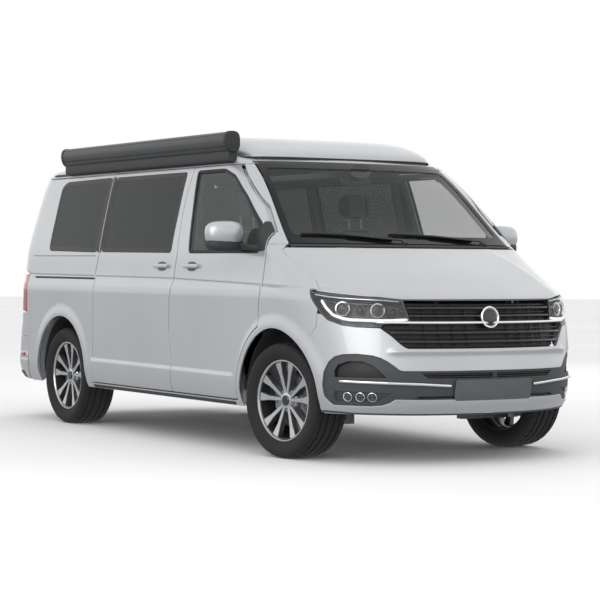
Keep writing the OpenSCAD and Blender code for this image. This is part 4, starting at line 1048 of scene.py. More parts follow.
def loft(name, sections, mat, body="root", sharp=40, side=1):
    """A closed solid through sections with the same number of points."""
    s = np.array(sections, float) * [side, 1, 1]
    faces = tube(*s.shape[:2])
    if side < 0:
        faces = [f[::-1] for f in faces]
    return harden(link(name, s.reshape(-1, 3), faces, mat, body=body), sharp)


def oval(rx, ry, power=2.6, n=28):
    """A squared oval round the origin."""
    t = np.linspace(0, 2 * np.pi, n, endpoint=False)
    both = (np.cos(t), rx), (np.sin(t), ry)
    return np.stack([np.sign(v) * np.abs(v) ** (2 / power) * r for v, r in both], 1)


# ---------------------------------------------------------------- headlights
for side, tag in SIDES:
    build(f"headlight_lens_{tag}", grow(HEAD, -1), [], LENS, step=30, depth=1, thick=4, sides=(side,), roll=1)
    build(f"headlight_wall_{tag}", grow(HEAD, -1), [grow(HEAD, -7)], LAMP_DARK, step=30, depth=6, thick=70,
          sides=(side,), roll=1)
    build(f"headlight_bowl_{tag}", grow(HEAD, -4), [], LAMP_DARK, step=30, depth=72, thick=6, sides=(side,),
          roll=1)
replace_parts(bpy.data.objects["headlight_lens_left"], "headlights")
guide = nose([(-1945, 942), (-1975, 900), (-2018, 858), (-2070, 838), (-2110, 831), (690, 828), (600, 829),
              (512, 834)], 12, False)
strip("headlight_guide", guide, 17, 10, LAMP_LIGHT, lift=-12)
top_bar = nose([(-1885, 978), (-1960, 968), (-2040, 960), (736, 955), (640, 947), (540, 938)], 12, False)
strip("headlight_top_bar", top_bar, 9, 8, CHROME, lift=-12)
brow = nose([(-1940, 945), (-2000, 930), (790, 925), (690, 922), (560, 900), (515, 880)], 12, False)
strip("headlight_brow", brow, 12, 10, GLOSS_BLACK, lift=-26)
for k, (x, z, r) in enumerate(((806, 893, 33), (655, 885, 33), (735, 889, 19), (580, 874, 19))):
    p, n = surface_at(x, z)
    n = n * [0.55, 1, 0.4]
    bezel = [(r + 9, -26), (r + 11, 0), (r + 9, 6), (r + 3, 7), (r - 1, 0), (r - 4, -22), (8, -26)]
    dome = [(r - 3, -20)] + [(r * math.cos(a), -14 + r * 0.62 * math.sin(a)) for a in np.linspace(0, 1.5, 9)]
    for side, tag in SIDES:
        at, way = (p - n * 34) * [side, 1, 1], n * [side, 1, 1]
        lathe(f"headlight_bezel_{k}_{tag}", bezel, at, way, CHROME if r > 25 else GLOSS_BLACK, 40)
        lathe(f"headlight_projector_{k}_{tag}", dome, at, way, GLOSS_BLACK if r > 25 else LAMP_DARK, 40,
              sharp=60)

# ---------------------------------------------------------------- front trim
disc_at = surface_at(0, 845)[0]
lathe("nose_disc_ring", [(40, -14), (60, -14), (64, -4), (64, 6), (61, 10), (56, 10), (53, 5), (40, 4)],
      disc_at, (0, -1, 0.12), CHROME, 72)
lathe("nose_disc", [(50, 0), (54, 3), (50, 6), (36, 9), (18, 10.5), (2, 11)], disc_at, (0, -1, 0.12),
      GLOSS_BLACK, 72)
plate_edge = nose([(18, 491), (258, 491), (266, 483), (266, 382), (258, 374), (18, 374)], 14, False)
plate = np.concatenate([centre(374, 491, 8), plate_edge])
build("front_plate", plate, [], BLANK, step=40, joined=True, depth=-7, thick=7, roll=1.2)
low_bar = nose([(289, 457), (467, 468), (640, 474), (760, 478), (833, 481)], 14, False)
strip("lower_bright_bar", low_bar, 15, 13, CHROME, lift=1)
for k, z in enumerate((508, 522)):
    strip(f"intake_slat_{k}", across(z, 455), 7, 14, TRIM, lift=-14, mirror=False)
strip("intake_slat_low", across(393, 440), 6, 14, TRIM, lift=-14, mirror=False)
cup = [(26, -34), (27, -8), (24, -6), (21, -10), (10, -28)]
bulb = [(13, -30), (14, -16), (10, -9), (5, -7), (1, -6.5)]
for k, x in enumerate((702, 752, 800)):
    p, n = surface_at(x, 390)
    for side, tag in SIDES:
        at, way = p * [side, 1, 1], n * [side, 1, 1]
        lathe(f"fog_lamp_{k}_{tag}", cup, at, way, CHROME, 36)
        lathe(f"fog_lens_{k}_{tag}", bulb, at, way, GLOSS_BLACK, 36, sharp=60)
build("fog_cover", nose([(606, 416), (666, 370), (700, 360), (826, 360), (842, 382), (842, 420)]), [], LENS,
      step=40, depth=5, thick=3, sides=(1, -1), roll=0.8)
chin = nose([(-1940, 304), (-2060, 300), (760, 296), (500, 292), (200, 290), (12, 289)], 20, False)
strip("chin", chin, 16, 26, GREY_TRIM, lift=-10)

# ---------------------------------------------------------------- windscreen
SCREEN_LOW, SCREEN_HIGH = COWL_Z + 3, RAIL_Z + 20


def screen_x(z):
    """Half width of the windscreen at each height."""
    return HALF_W - 151 - 115 * (np.asarray(z, float) - COWL_Z - 2) / (RAIL_Z + 19 - COWL_Z)


def screen_side(z0, z1, out, n=40):
    """The windscreen's edge, moved out towards the sides."""
    zs = np.linspace(z0, z1, n)
    return on_end(screen_x(zs) + out, zs)


z0, z1 = SCREEN_LOW, SCREEN_HIGH
screen_outer = np.concatenate([
    centre(z0, z1, 40), level(16, screen_x(z1) - 24, z1), screen_side(z1 - 6, z0 + 5, -2),
    level(screen_x(z0) - 14, 16, z0),
])
build("windscreen_glass", screen_outer, [], SCREEN_GLASS, step=40, joined=True, depth=1.5, thick=5, roll=0.8,
      replaces=["windscreen"])
y0, y1 = z0 + 46, z1 - 44
border = np.concatenate([
    centre(z0, y0, 5), level(16, screen_x(y0) - 62, y0), screen_side(y0 + 14, y1 - 16, -34),
    level(screen_x(y1) - 60, 16, y1),
    centre(y1, z1, 5), level(16, screen_x(z1) - 24, z1), screen_side(z1 - 6, z0 + 5, -2),
    level(screen_x(z0) - 14, 16, z0),
])
build("windscreen_border", border, [], FRIT, step=30, joined=True, depth=0.7, thick=1.6, roll=0.5)
build("windscreen_border_inside", border, [], FRIT, step=30, joined=True, depth=7.2, thick=1.2, roll=0.5)
cowl = np.concatenate([centre(1245.5, 1270, 4), level(16, 806, 1270), level(806, 16, 1245.5)])
build("cowl_panel", cowl, [], TRIM, step=30, joined=True, depth=5, thick=16, roll=1.5)
for k, (x0, x1) in enumerate(((560, -110), (-60, -690))):
    m = 40
    xs = np.linspace(x0, x1, m)
    zs = 1279 + 46 * np.sin(np.linspace(0.15, 1.5, m)) ** 1.5
    strip(f"wiper_arm_{k}", on_end(xs, zs)[: m // 2 + 4], 15, 9, TRIM, lift=15, mirror=False)
    bx = np.linspace(x0 - 60, x1 - 20, m)
    bz = 1296 + 26 * np.sin(np.linspace(0.1, 1.6, m)) ** 1.5
    strip(f"wiper_blade_{k}", on_end(bx, bz), 10, 17, SEAL, lift=8, mirror=False)
    p, n = surface_at(x0, 1272)
    lathe(f"wiper_pivot_{k}", [(20, -8), (21, 12), (18, 18), (9, 20), (2, 20.5)], p, n, TRIM, 28)
p, n = surface_at(0, 1742)
loft("sensor_housing", [
    [[x * w, p[1] + 14 + dy, p[2] - 4 + dz + z * w] for x, z in oval(74, 44)]
    for w, dy, dz in ((1.0, 0, 0), (1.04, 8, -3), (0.95, 22, -8), (0.55, 32, -10))
], GLOSS_BLACK)
loft("inside_mirror", [
    [[x * w, p[1] + 74 + dy, p[2] - 62 + z * w] for x, z in oval(118, 34, 3.2)]
    for w, dy in ((0.9, 0), (1.0, 5), (1.0, 20), (0.82, 30))
], TRIM)
loft("inside_mirror_stem", [
    [[x * 0.16, p[1] + 30 + dy, p[2] - 30 + dz + z * 0.26] for x, z in oval(74, 44)] for dy,
    dz in ((0, 0), (30, -22), (56, -30))
], TRIM)

# ---------------------------------------------------------------- wheels
WHEEL_N = 180


def tyre_profile():
    """(radius, x) round the tyre from the inner bead over the tread to the outer bead and back."""
    side = [(236, 92), (244, 99), (252, 106), (264, 114), (279, 121), (296, 125.5), (310, 126), (322, 122),
            (331, 115), (336.5, 106)]
    tread = [(339, 98)]
    for gx, half in ((70, 5.5), (26, 6)):
        tread += [(340, gx + half + 0.8), (332.5, gx + half - 0.8), (332.5, gx - half + 0.8),
                  (340.6, gx - half - 0.8)]
    tread += [(341, 9), (341, 0)]
    half = side + tread
    out = [(r, -x) for r, x in half] + [(r, x) for r, x in half[:-1][::-1]]
    return np.array(out + [(229, 90), (226, 0), (229, -90)])


def wheel_frame(side, front):
    """Matrix from the wheel's own axes, with x outwards, to the van."""
    turn = STEER_REST if front else 0.0
    y = AXLE_F if front else AXLE_R
    inner = side * (WHEEL_X - KINGPIN_X)
    cx = side * KINGPIN_X + inner * math.cos(turn)
    cy = y + inner * math.sin(turn)
    c, s = math.cos(turn), math.sin(turn)
    return np.array([[side * c, -s, 0, cx], [side * s, c, 0, cy], [0, 0, 1, AXLE_Z]])


def wheel_link(name, v, f, mat, m, side, body, normals=None, sharp=None):
    v = np.asarray(v, float) @ m[:, :3].T + m[:, 3]
    f = [tuple(q)[::-1] for q in f] if side < 0 else f
    n = None if normals is None else np.asarray(normals) @ m[:, :3].T
    ob = link(name, v, f, mat, n, body=body)
    return harden(ob, sharp) if sharp else ob


def turned(profile, n=WHEEL_N, closed=True):
    """Vertices and faces of (radius, x) turned about x."""
    prof = np.array(profile, float)
    t = np.linspace(0, 2 * np.pi, n, endpoint=False)
    v = np.stack([np.repeat(prof[:, 1][:, None], n, 1), prof[:, 0][:, None] * np.sin(t),
                  prof[:, 0][:, None] * np.cos(t)], -1)
    return v, [f[::-1] for f in tube(len(prof), n, not closed, closed)]


def tyre_mesh():
    prof = tyre_profile()
    v, f = turned(prof)
    r0, x = prof[:, 0], np.abs(prof[:, 1])
    j = np.arange(WHEEL_N)
    shoulder = (x > 76) & (x < 110) & (r0 > 330)
    middle = (x < 66) & (x > 30) & (r0 > 336)
    cut = np.zeros((len(prof), WHEEL_N))
    cut[np.ix_(shoulder, j % 5 == 0)] = 6.0
    cut[np.ix_(middle, j % 5 == 2)] = 4.0
    radius = r0[:, None] - cut
    t = np.linspace(0, 2 * np.pi, WHEEL_N, endpoint=False)
    v[..., 1], v[..., 2] = radius * np.sin(t), radius * np.cos(t)
    return v.reshape(-1, 3), f


def face_x(r):
    """How far out the front of the spokes stands at each radius."""
    return 74 + 16 * np.clip((np.asarray(r, float) - 40) / 190, 0, 1) ** 1.4


def spoke_loops(narrow):
    """Outlines of the ten spokes, in the plane of the wheel."""
    loops = []
    for k in range(5):
        for turn in (-1, 1):
            a0 = math.radians(72 * k + turn * 10.5)
            a1 = math.radians(72 * k + turn * 14.0)
            p0 = 42 * np.array([math.sin(a0), math.cos(a0)])
            p1 = 229 * np.array([math.sin(a1), math.cos(a1)])
            d = (p1 - p0) / np.linalg.norm(p1 - p0)
            q = np.array([d[1], -d[0]])
            w0, w1 = 10.5 - narrow, 27 - narrow
            g = turn * 3.5
            loops.append(np.array([p0 + q * w0, p0 + (p1 - p0) * 0.6 + q * (w0 + 3.2 + g), p1 + q * (w1 + g),
                                   p1 - q * (w1 - g),
                                   p0 + (p1 - p0) * 0.6 - q * (w0 + 3.2 - g), p0 - q * w0]))
    return loops


def plates(loops, depth, thick, roll=1.5, step=24):
    """Each outline as a plate on the curved front of the wheel."""
    vs, ns, fs, total = [], [], [], 0
    for loop in loops:
        uv, f = patch(resample(loop, 14), step=step)
        r = np.hypot(uv[:, 0], uv[:, 1])
        p = np.stack([face_x(r), uv[:, 0], uv[:, 1]], 1)
        slope = (face_x(r + 1) - face_x(r - 1)) / 2
        n = np.stack([np.ones(len(r)), -slope * uv[:, 0] / r, -slope * uv[:, 1] / r], 1)
        n /= np.linalg.norm(n, axis=1)[:, None]
        v, vn, vf = shell(p, n, f, depth=depth, thick=thick, roll=roll)
        vs.append(v)
        ns.append(vn)
        fs.append(vf + total)
        total += len(v)
    return np.concatenate(vs), np.concatenate(ns), np.concatenate(fs)


tyre_v, tyre_f = tyre_mesh()
barrel = turned([(236, 90), (230, 93), (224, 88), (218, 40), (212, 0), (214, -60), (230, -92), (236, -90),
                 (228, -60), (222, 0), (228, 60)], 96)
lip = turned([(240, 88), (242, 98), (240, 101), (233, 101), (230, 97), (228, 90), (226, 84)], 120)
hub = turned([(2, 40), (72, 40), (76, 52), (70, 62), (50, 66), (46, 74), (31, 77), (2, 77)], 72, False)
cap = turned([(2, 72), (29, 72), (31, 76), (31, 81), (27, 84), (2, 85)], 64, False)
disc = turned([(60, 6), (158, 6), (158, 13), (150, 14), (150, 22), (158, 23), (158, 30), (88, 30), (84, 44),
               (40, 44), (40, 36), (60, 30)], 96)
bolts = []
for k in range(5):
    a = math.radians(72 * k + 36)
    t = np.linspace(0, 2 * np.pi, 6, endpoint=False)
    bolts.append((58 * math.sin(a), 58 * math.cos(a), t))
spokes_dark = plates(spoke_loops(0), 1.2, 34)
spokes_bright = plates(spoke_loops(3), 0, 3, 0.8)
for side, front, tag in ((1, True, "front_left"), (-1, True, "front_right"), (1, False, "rear_left"),
                         (-1, False, "rear_right")):
    m = wheel_frame(side, front)
    body = f"wheel_{tag}"
    ob = wheel_link(f"tyre_{tag}_rubber", tyre_v, tyre_f, TYRE, m, side, body, sharp=38)
    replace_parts(ob, f"tyre_{tag}")
    ob = wheel_link(f"wheel_{tag}_spoke_faces", spokes_bright[0], spokes_bright[2], ALLOY, m, side, body,
                    spokes_bright[1])
    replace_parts(ob, f"rim_{tag}")
    wheel_link(f"wheel_{tag}_spokes", spokes_dark[0], spokes_dark[2], ALLOY_GREY, m, side, body,
               spokes_dark[1])
    for part, (v, f), mat in (("barrel", barrel, ALLOY_DARK), ("lip", lip, ALLOY), ("hub", hub, ALLOY),
                              ("cap", cap, GLOSS_BLACK), ("disc", disc, STEEL)):
        wheel_link(f"wheel_{tag}_{part}", v.reshape(-1, 3), f, mat, m, side, body, sharp=30)
    v, f = [], []
    for by, bz, t in bolts:
        base = len(v)
        for x, r in ((58, 9.5), (70, 9.5), (73, 7.0)):
            v += [(x, by + r * math.sin(q), bz + r * math.cos(q)) for q in t]
        f += [tuple(base + i for i in q[::-1]) for q in tube(3, 6)]
    wheel_link(f"wheel_{tag}_bolts", v, f, STEEL, m, side, body, sharp=30)
    a = np.linspace(math.radians(58), math.radians(112), 12) + (0 if front else math.pi)
    sec = []
    for q in a:
        e = 0.75 if q in (a[0], a[-1]) else 1.0
        loop = oval(36 * e, 34 * e, 4, 20)
        sec.append([(4 + u, (142 + w) * math.sin(q) * -1, (142 + w) * math.cos(q)) for u, w in loop])
    holder = f"steering_{tag[6:]}" if front else "root"
    wheel_link(f"caliper_{tag}", np.array(sec).reshape(-1, 3), tube(len(a), 20), CAST, m, side, holder,
               sharp=35)

# ---------------------------------------------------------------- finishes of the CAD pieces in view
KEPT = {
    UNDERBODY: ("floor_pan", "front_structure"),
    CAST: ("knuckle_left", "knuckle_right", "front_suspension", "rear_suspension", "engine_block"),
    STEEL: ("exhaust", "towing_socket"),
    TRIM: ("fuel_tank", "mirror_left", "mirror_right"),
    DASH: ("dashboard", "steering_wheel"),
    OAK: ("kitchen_unit",),
    FABRIC: ("front_seats", "rear_bench"),
    CANVAS: ("tent_canvas",),
    AWNING: ("awning",),
    RED_LENS: ("tail_lights",),
    SIDE_GLASS: ("tailgate_glass",),
}
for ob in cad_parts.values():
    ob.data.materials.clear()
    ob.data.materials.append(PAINT)
for mat, names in KEPT.items():
    for name in names:
        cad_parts[name].data.materials[0] = mat


# ---------------------------------------------------------------- roof
def normals_of(p, f):
    """Smooth outward normals at the vertices of a triangle mesh."""
    face = np.cross(p[f[:, 1]] - p[f[:, 0]], p[f[:, 2]] - p[f[:, 0]])
    n = np.zeros_like(p)
    for k in range(3):
        np.add.at(n, f[:, k], face)
    return n / (np.linalg.norm(n, axis=1)[:, None] + 1e-12)


def grid_faces(rows, columns):
    i, j = np.meshgrid(np.arange(rows - 1), np.arange(columns - 1), indexing="ij")
    a = (i * columns + j).ravel()
    return np.concatenate([np.stack([a, a + 1, a + columns + 1], 1),
                           np.stack([a, a + columns + 1, a + columns], 1)])


def level_line(form, z, n):
    """Points (s, z) round half the body at one height, from the nose's middle to the tail's."""
    at = np.array([float(z)])
    a, b = form.s_end(np.array([0.0]), at)[0], form.s_end(np.array([0.0]), at, False)[0]
    s = a + (b - a) * np.linspace(0, 1, n)
    return np.stack([s, np.full(n, float(z))], 1)


top_z, low_z = ROOF_Z - 1.5, RAIL_Z + 3
row = level_line(BODY, top_z, 190)
low_row = level_line(BODY, low_z, 260)
corner = on_end(screen_x(low_z) + 8, low_z)[0, 0]
roof_outer = np.concatenate([
    centre(SCREEN_HIGH + 4, top_z, 6), row[1:-1], rear_centre(top_z, low_z, 8),
    low_row[1:-1][::-1][low_row[1:-1][::-1, 0] > corner],
    level(screen_x(SCREEN_HIGH) + 7, 14, SCREEN_HIGH + 4),
])
build("roof_skin", roof_outer, [], PAINT, step=22, joined=True, thick=16, replaces=["roof_frame"])
edge = BODY.place(row[:, 0], row[:, 1])[:, :2]
hatch = np.array([[0, 1373 + 16], [540, 1373 + 16], [556, 1373], [556, -527], [540, -543], [0, -543]])


def level_plate(name, outline, z, mat, step, thick, roll, joined=True):
    """A level plate from its outline in (x, y), which is half of it where joined."""
    uv, f = patch(outline, step=step)
    half = np.column_stack([uv, np.full(len(uv), z)]), np.tile([0, 0, 1.0], (len(uv), 1)), f
    v, vn, vf = shell(*(weld(*half) if joined else half), thick=thick, roll=roll)
    return link(name, v, vf, mat, vn)


level_plate("roof_deck", np.concatenate([edge, hatch]), ROOF_Z - 1.0, PAINT, 90, 18, 1)

POP = Form(pop_side, pop_nose, lambda z: pop_nose(z) + 330, lambda z: np.full(np.shape(z), 4.0), pop_tail,
           260, 4.0)
levels = POP_LOW + 3 + (HEIGHT - 0.4 - POP_LOW - 3) * (1 - (1 - np.linspace(0, 1, 34)) ** 2)
COLS = 150
rows = [POP.place(*level_line(POP, z, COLS).T) for z in levels]
for k in range(1, 7):
    flat = rows[len(levels) - 1].copy()
    flat[:, 0] *= 1 - k / 6
    flat[:, 2] = HEIGHT - 0.4 * (1 - k / 6)
    rows.append(flat)
pop_p = np.concatenate(rows)
pop_f = grid_faces(len(rows), COLS)
pop_half = weld(pop_p, normals_of(pop_p, pop_f), pop_f)
pop_skin = shell(*pop_half, thick=16, roll=2)
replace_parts(link("pop_top_skin", pop_skin[0], pop_skin[2], PAINT, pop_skin[1], body="lifting_roof"),
            "pop_top_roof")
seal_line = level_line(POP, POP_LOW + 6, 260)
strip("pop_top_seal", seal_line[POP.place(*seal_line.T)[:, 1] < POP_REAR - 130], 14, 9, SEAL, lift=-2,
      form=POP, body="lifting_roof", ends=False)


# folded canvas round the hatch
def canvas_ring(grow_by, z_of):
    loop = resample(soften([[560, -547], [560, 1393], [-560, 1393], [-560, -547]], 60, 5), 40)
    c = np.array([0, 423])
    d = loop - c
    half = np.array([560, 970])
    q = c + d * (half + grow_by) / half
    return np.column_stack([q, z_of(q[:, 1])])


fold = []
FOLDS = 17
for k in range(FOLDS):
    share = k / (FOLDS - 1)
    top = lambda y: np.interp(y, [-547, -400, 0, 1393], [1908, 1922, 1930, 1932])
    fold.append(canvas_ring(-6 if k % 2 == 0 else -38, lambda y: 1845 + (top(y) - 1845) * share))
count = len(fold[0])
canvas_v = np.concatenate(fold)
canvas_f = tube(FOLDS, count, False)
me = bpy.data.meshes.new("tent_fabric")
me.from_pydata([tuple(v) for v in canvas_v * 0.001], [], [f[::-1] for f in canvas_f])
me.materials.append(CANVAS)
tent = bpy.data.objects.new("tent_fabric", me)
bpy.context.scene.collection.objects.link(tent)
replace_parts(tent, "tent_canvas")
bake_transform(tent)

# ---------------------------------------------------------------- awning, its rail and the painted shade under it
AW_X, AW_Y0, AW_Y1, AW_Z = -(HALF_W - TUMBLE + 8), HEADER_Y + 150, HEADER_Y + 150 + 2460, HEIGHT - 81


def awning_section(y, by=0.0, share=1.0):
    o = oval(52 + by, 64 + by, 2.9, 40)
    lean = np.clip(-o[:, 1] / 64, 0, 1) * 12
    return [[AW_X + (x + lean[i] * (1 if x < 0 else 0)) * share, y, AW_Z + z * share] for i,
            (x, z) in enumerate(o)]


loft("awning_case", [awning_section(y) for y in np.linspace(AW_Y1 - 26, AW_Y0 + 26, 12)], AWNING)
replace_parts(bpy.data.objects["awning_case"], "awning")
for name, ys in (("front", (AW_Y0 + 34, AW_Y0 + 30, AW_Y0 + 8, AW_Y0 + 2, AW_Y0)),
                 ("rear", (AW_Y1, AW_Y1 - 2, AW_Y1 - 8, AW_Y1 - 30, AW_Y1 - 34))):
    by, share = (1.5, 3, 3, 1, -4), (1, 1, 1, 0.97, 0.88)
    if name == "rear":
        by, share = by[::-1], share[::-1]
    loft(f"awning_cap_{name}", [awning_section(y, b, k) for y, b, k in zip(ys, by, share)], TRIM)
for name, dz, dx in (("lid", -34, -50.5), ("top", 44, -44)):
    o = oval(1.8, 2.6, 2, 10)
    loft(f"awning_line_{name}",
         [[[AW_X + dx + x, y, AW_Z + dz + z] for x, z in o] for y in (AW_Y1 - 36, AW_Y0 + 36)], SEAL)
for k in range(3):
    y = AW_Y0 + 220 + k * 1010
    low, high = oval(36, 44, 5, 20), oval(30, 38, 5, 20)
    loft(f"awning_foot_{k}", [
        [[AW_X + 26 + x, y + w, 1786] for x, w in low], [[AW_X + 26 + x, y + w, 1812] for x, w in high],
        [[AW_X + 16 + x, y + w, AW_Z - 44] for x, w in high],
    ], GREY_TRIM)
# The black rail runs from the roof up to the case's bottom along the whole awning. It is partly a real
# mounting rail and partly painted shade standing in for the shadow under the case.
loft("awning_rail_painted_shade", [[[AW_X + 8 + a, y, 1822 + b] for a, b in oval(30, 36, 5, 24)]
                     for y in np.linspace(AW_Y1 - 16, AW_Y0 + 16, 20)], TRIM)
strip("roof_rail", on_side(np.arange(-760, 1960, 40.0), 1785), 20, 10, TRIM, lift=2)
strip("drip_rail", on_side(np.arange(-876, 1960, 30.0), 1773.5), 11, 4, PAINT, lift=0.6)

# ---------------------------------------------------------------- mirrors
for side, tag in SIDES:
    body = f"front_door_{tag}"
    yc, zc = -1112, 1330
    spine = ((934, 44, 40), (944, 58, 60), (966, 68, 72), (1010, 74, 76), (1060, 72, 76), (1105, 62, 72),
             (1138, 48, 60), (1156, 34, 44), (1164, 18, 24))
    shape = []
    for x, ry, rz in spine:
        o = oval(ry, rz, 2.7, 36)
        o[:, 0] = np.minimum(o[:, 0], 30)
        shape.append([[x, yc + a + (x - 940) * 0.05, zc + b] for a, b in o])
    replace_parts(loft(f"mirror_shell_{tag}", shape, PAINT, body, 50, side), f"mirror_{tag}")
    low = []
    for x, ry, rz in ((926, 34, 24), (940, 50, 34), (980, 64, 40), (1040, 68, 42), (1100, 60, 40),
                      (1140, 44, 32), (1156, 24, 20)):
        o = oval(ry, rz, 3, 30)
        o[:, 0] = np.minimum(o[:, 0], 34)
        low.append([[x, yc + a + (x - 940) * 0.05, 1254 + b + (x - 926) * 0.03] for a, b in o])
    loft(f"mirror_base_{tag}", low, TRIM, body, 50, side)
    o = oval(96, 66, 3.6, 36)
    loft(f"mirror_frame_{tag}", [[[1046 + a * w, yc + 34 + dy, 1326 + b * w] for a, b in o]
                                 for dy, w in ((-6, 1.03), (6, 1.03), (9, 0.99))], TRIM, body, 40, side)
    loft(f"mirror_glass_{tag}", [[[side * (1046 + a * w), yc + 34 + dy, 1326 + b * w] for a, b in o[::-side]]
                                 for dy, w in ((6, 0.93), (10.5, 0.93), (11, 0.92))], CHROME, body, 40)
    arm = []
    for x, y, z, ry, rz in ((872, -1326, 1236, 40, 20), (896, -1296, 1238, 38, 19),
                            (926, -1214, 1246, 34, 19), (950, -1150, 1254, 34, 22),
                            (972, -1118, 1260, 30, 20)):
        arm.append([[x - a * 0.35, y + a, z + b] for a, b in oval(ry, rz, 3, 24)])
    loft(f"mirror_arm_{tag}", arm, TRIM, body, 50, side)
    sail = soften([[-1386, 1228], [-1316, 1222], [-1282, 1402], [-1302, 1400], [-1364, 1344]], 10)
    build(f"mirror_sail_{tag}", side_loop(sail, 7), [], TRIM, body, step=8, depth=-2.5, thick=10,
          sides=(side,), roll=1.5)


# ---------------------------------------------------------------- handles, rail slot and lines of the sides
def on_side_line(y0, y1, z0, z1=None, n=24):
    """A straight line along the side."""
    return on_side(np.linspace(y0, y1, n), np.linspace(z0, z0 if z1 is None else z1, n))


for tag, y, side, body in (("door_left", -482, 1, "front_door_left"),
                           ("door_right", -482, -1, "front_door_right"), ("slider", -71, -1, "root")):
    line = on_side_line(y - 92, y + 92, 1130, n=22)
    strip(f"handle_{tag}", line, 27, 15, PAINT, lift=15, mirror=False, body=body, side=side)
    for k, dy in enumerate((-78, 78)):
        strip(f"handle_{tag}_foot_{k}", on_side_line(y + dy - 12, y + dy + 12, 1130, n=4), 22, 24, PAINT,
              lift=4, mirror=False, body=body, side=side)
    # The dark oval under each handle is painted shade: a flat plate standing in for the shaded hollow behind
    # the grip, which is not modelled.
    build(f"handle_{tag}_cup", on_side(y, 1128) + oval(66, 30, 2.4, 40), [],
          LAMP_DARK, body, step=18, depth=-0.6, thick=3, sides=(side,), roll=0.8)
strip("slide_rail_slot", on_side_line(934, 1946, 1040, 1043, 60), 15, 2.4, TRIM, lift=0.6, mirror=False,
      side=-1)
strip("side_line", on_side_line(940, 2000, 1197, 1199, 60), 4, 1.6, SEAL, lift=0.4)
strip("sill_line", on_side_line(-1080, 980, 318, 318, 90), 5, 3, SEAL, lift=0.5)
strip("sill_cover", on_side_line(-1060, 960, 296, 296, 90), 26, 12, TRIM, lift=-2)
build("fuel_flap", side_loop(soften([[1070, 850], [1070, 980], [1210, 980], [1210, 850]], 22)), [], PAINT,
      step=24, depth=-0.8, thick=3, sides=(1,), roll=1.2)


# ---------------------------------------------------------------- tail
def tail_level(x0, x1, z):
    return level(x0, x1, z, front=False)


def tail_edge(points):
    """A line seen from behind."""
    return on_end(*resample(points, 14, False).T, False)


def rear_window(by):
    """Outline of the tailgate glass from the middle of its foot to the middle of its top."""
    return tail_edge([(14, BELT_Z + 20 - by), (680 + by, BELT_Z + 20 - by), (708 + by, BELT_Z + 48),
                      (650 + by, RAIL_Z - 122), (620 + by, RAIL_Z - 92 + by), (14, RAIL_Z - 90 + by)])


gate_out = -GAP / 2 - ROLL
tail_top = RAIL_Z - 4
gate = np.concatenate([
    rear_centre(TAILGATE_Z + 4, BELT_Z + 20, 24), rear_window(2), rear_centre(RAIL_Z - 88, tail_top, 5),
    tail_level(14, tail_x(RAIL_Z - 10) - 14, tail_top), tail_line(RAIL_Z - 12, TAILGATE_Z + 14, gate_out, 70),
    tail_level(TAILGATE_W / 2 - 36, 14, TAILGATE_Z + 4),
])


def gate_relief(p):
    """The plate recess and the fold below the glass."""
    x, z = np.abs(p[:, 0]), p[:, 2]
    wide = 1 + np.exp(np.clip((x - 330) / 6, -30, 30))
    tall = 1 + np.exp(np.clip((np.abs(z - 800) - 78) / 5, -30, 30))
    return -9.0 / wide / tall - 4.0 * np.exp(-(((z - 1040) / 7) ** 2))


build("tailgate_skin", gate, [], PAINT, "rear_hatch", step=20, relief=gate_relief, joined=True, thick=24,
      replaces=["tailgate"])
inner = np.concatenate([
    rear_centre(TAILGATE_Z + 50, BELT_Z + 12, 12), rear_window(8), rear_centre(RAIL_Z - 82, RAIL_Z - 52, 3),
    tail_level(14, tail_x(RAIL_Z - 50) - 60, RAIL_Z - 52), tail_line(RAIL_Z - 60, TAILGATE_Z + 60, -50, 40),
    tail_level(TAILGATE_W / 2 - 80, 14, TAILGATE_Z + 50),
])
build("tailgate_card", inner, [], LIGHT_TRIM, "rear_hatch", step=50, joined=True, depth=25, thick=30)
pane = np.concatenate([rear_centre(BELT_Z + 21, RAIL_Z - 91, 20), rear_window(-1)[::-1]])
build("tailgate_pane", pane, [], SIDE_GLASS, "rear_hatch", step=40, joined=True, depth=2, thick=5, roll=0.8,
      replaces=["tailgate_glass"])
glass_border = np.concatenate([rear_centre(BELT_Z + 21, BELT_Z + 50, 3), rear_window(-30),
                               rear_centre(RAIL_Z - 120, RAIL_Z - 91, 3), rear_window(-1)[::-1]])
build("tailgate_border", glass_border, [], FRIT, "rear_hatch", step=30, joined=True, depth=1.1, thick=2,
      roll=0.5)

strip("tailgate_seal", tail_line(RAIL_Z - 8, TAILGATE_Z + 14, 0, 60), 32, 10, SEAL, lift=-36)
strip("tailgate_seal_top", tail_level(14, tail_x(RAIL_Z - 8), RAIL_Z + 4), 22, 10, SEAL, lift=-36)

lamp = np.concatenate([
    tail_line(LAMP_LOW + 2, LAMP_HIGH - 2, GAP / 2 + 4, 30),
    side_loop([[LAMP_Y + 4, LAMP_HIGH - 2], [LAMP_Y + 2, LAMP_LOW + 2]], closed=False),
])
build("tail_lamp", lamp, [], RED_LENS, step=24, depth=-2, thick=44, sides=(1, -1), roll=4,
      replaces=["tail_lights"])
for k, (z0, z1, mat) in enumerate(((830, 880, LENS), (895, 930, AMBER))):
    part = np.concatenate([tail_line(z0, z1, 26, 8),
                           side_loop([[LAMP_Y + 60, z1], [LAMP_Y + 60, z0]], closed=False)])
    build(f"tail_lamp_window_{k}", part, [], mat, step=24, depth=-3.2, thick=4, sides=(1, -1), roll=1.5)


def behind(z, n, s0):
    """The part of a level line round the body that lies past s0."""
    line = level_line(BODY, z, n)
    return line[line[:, 0] > s0]


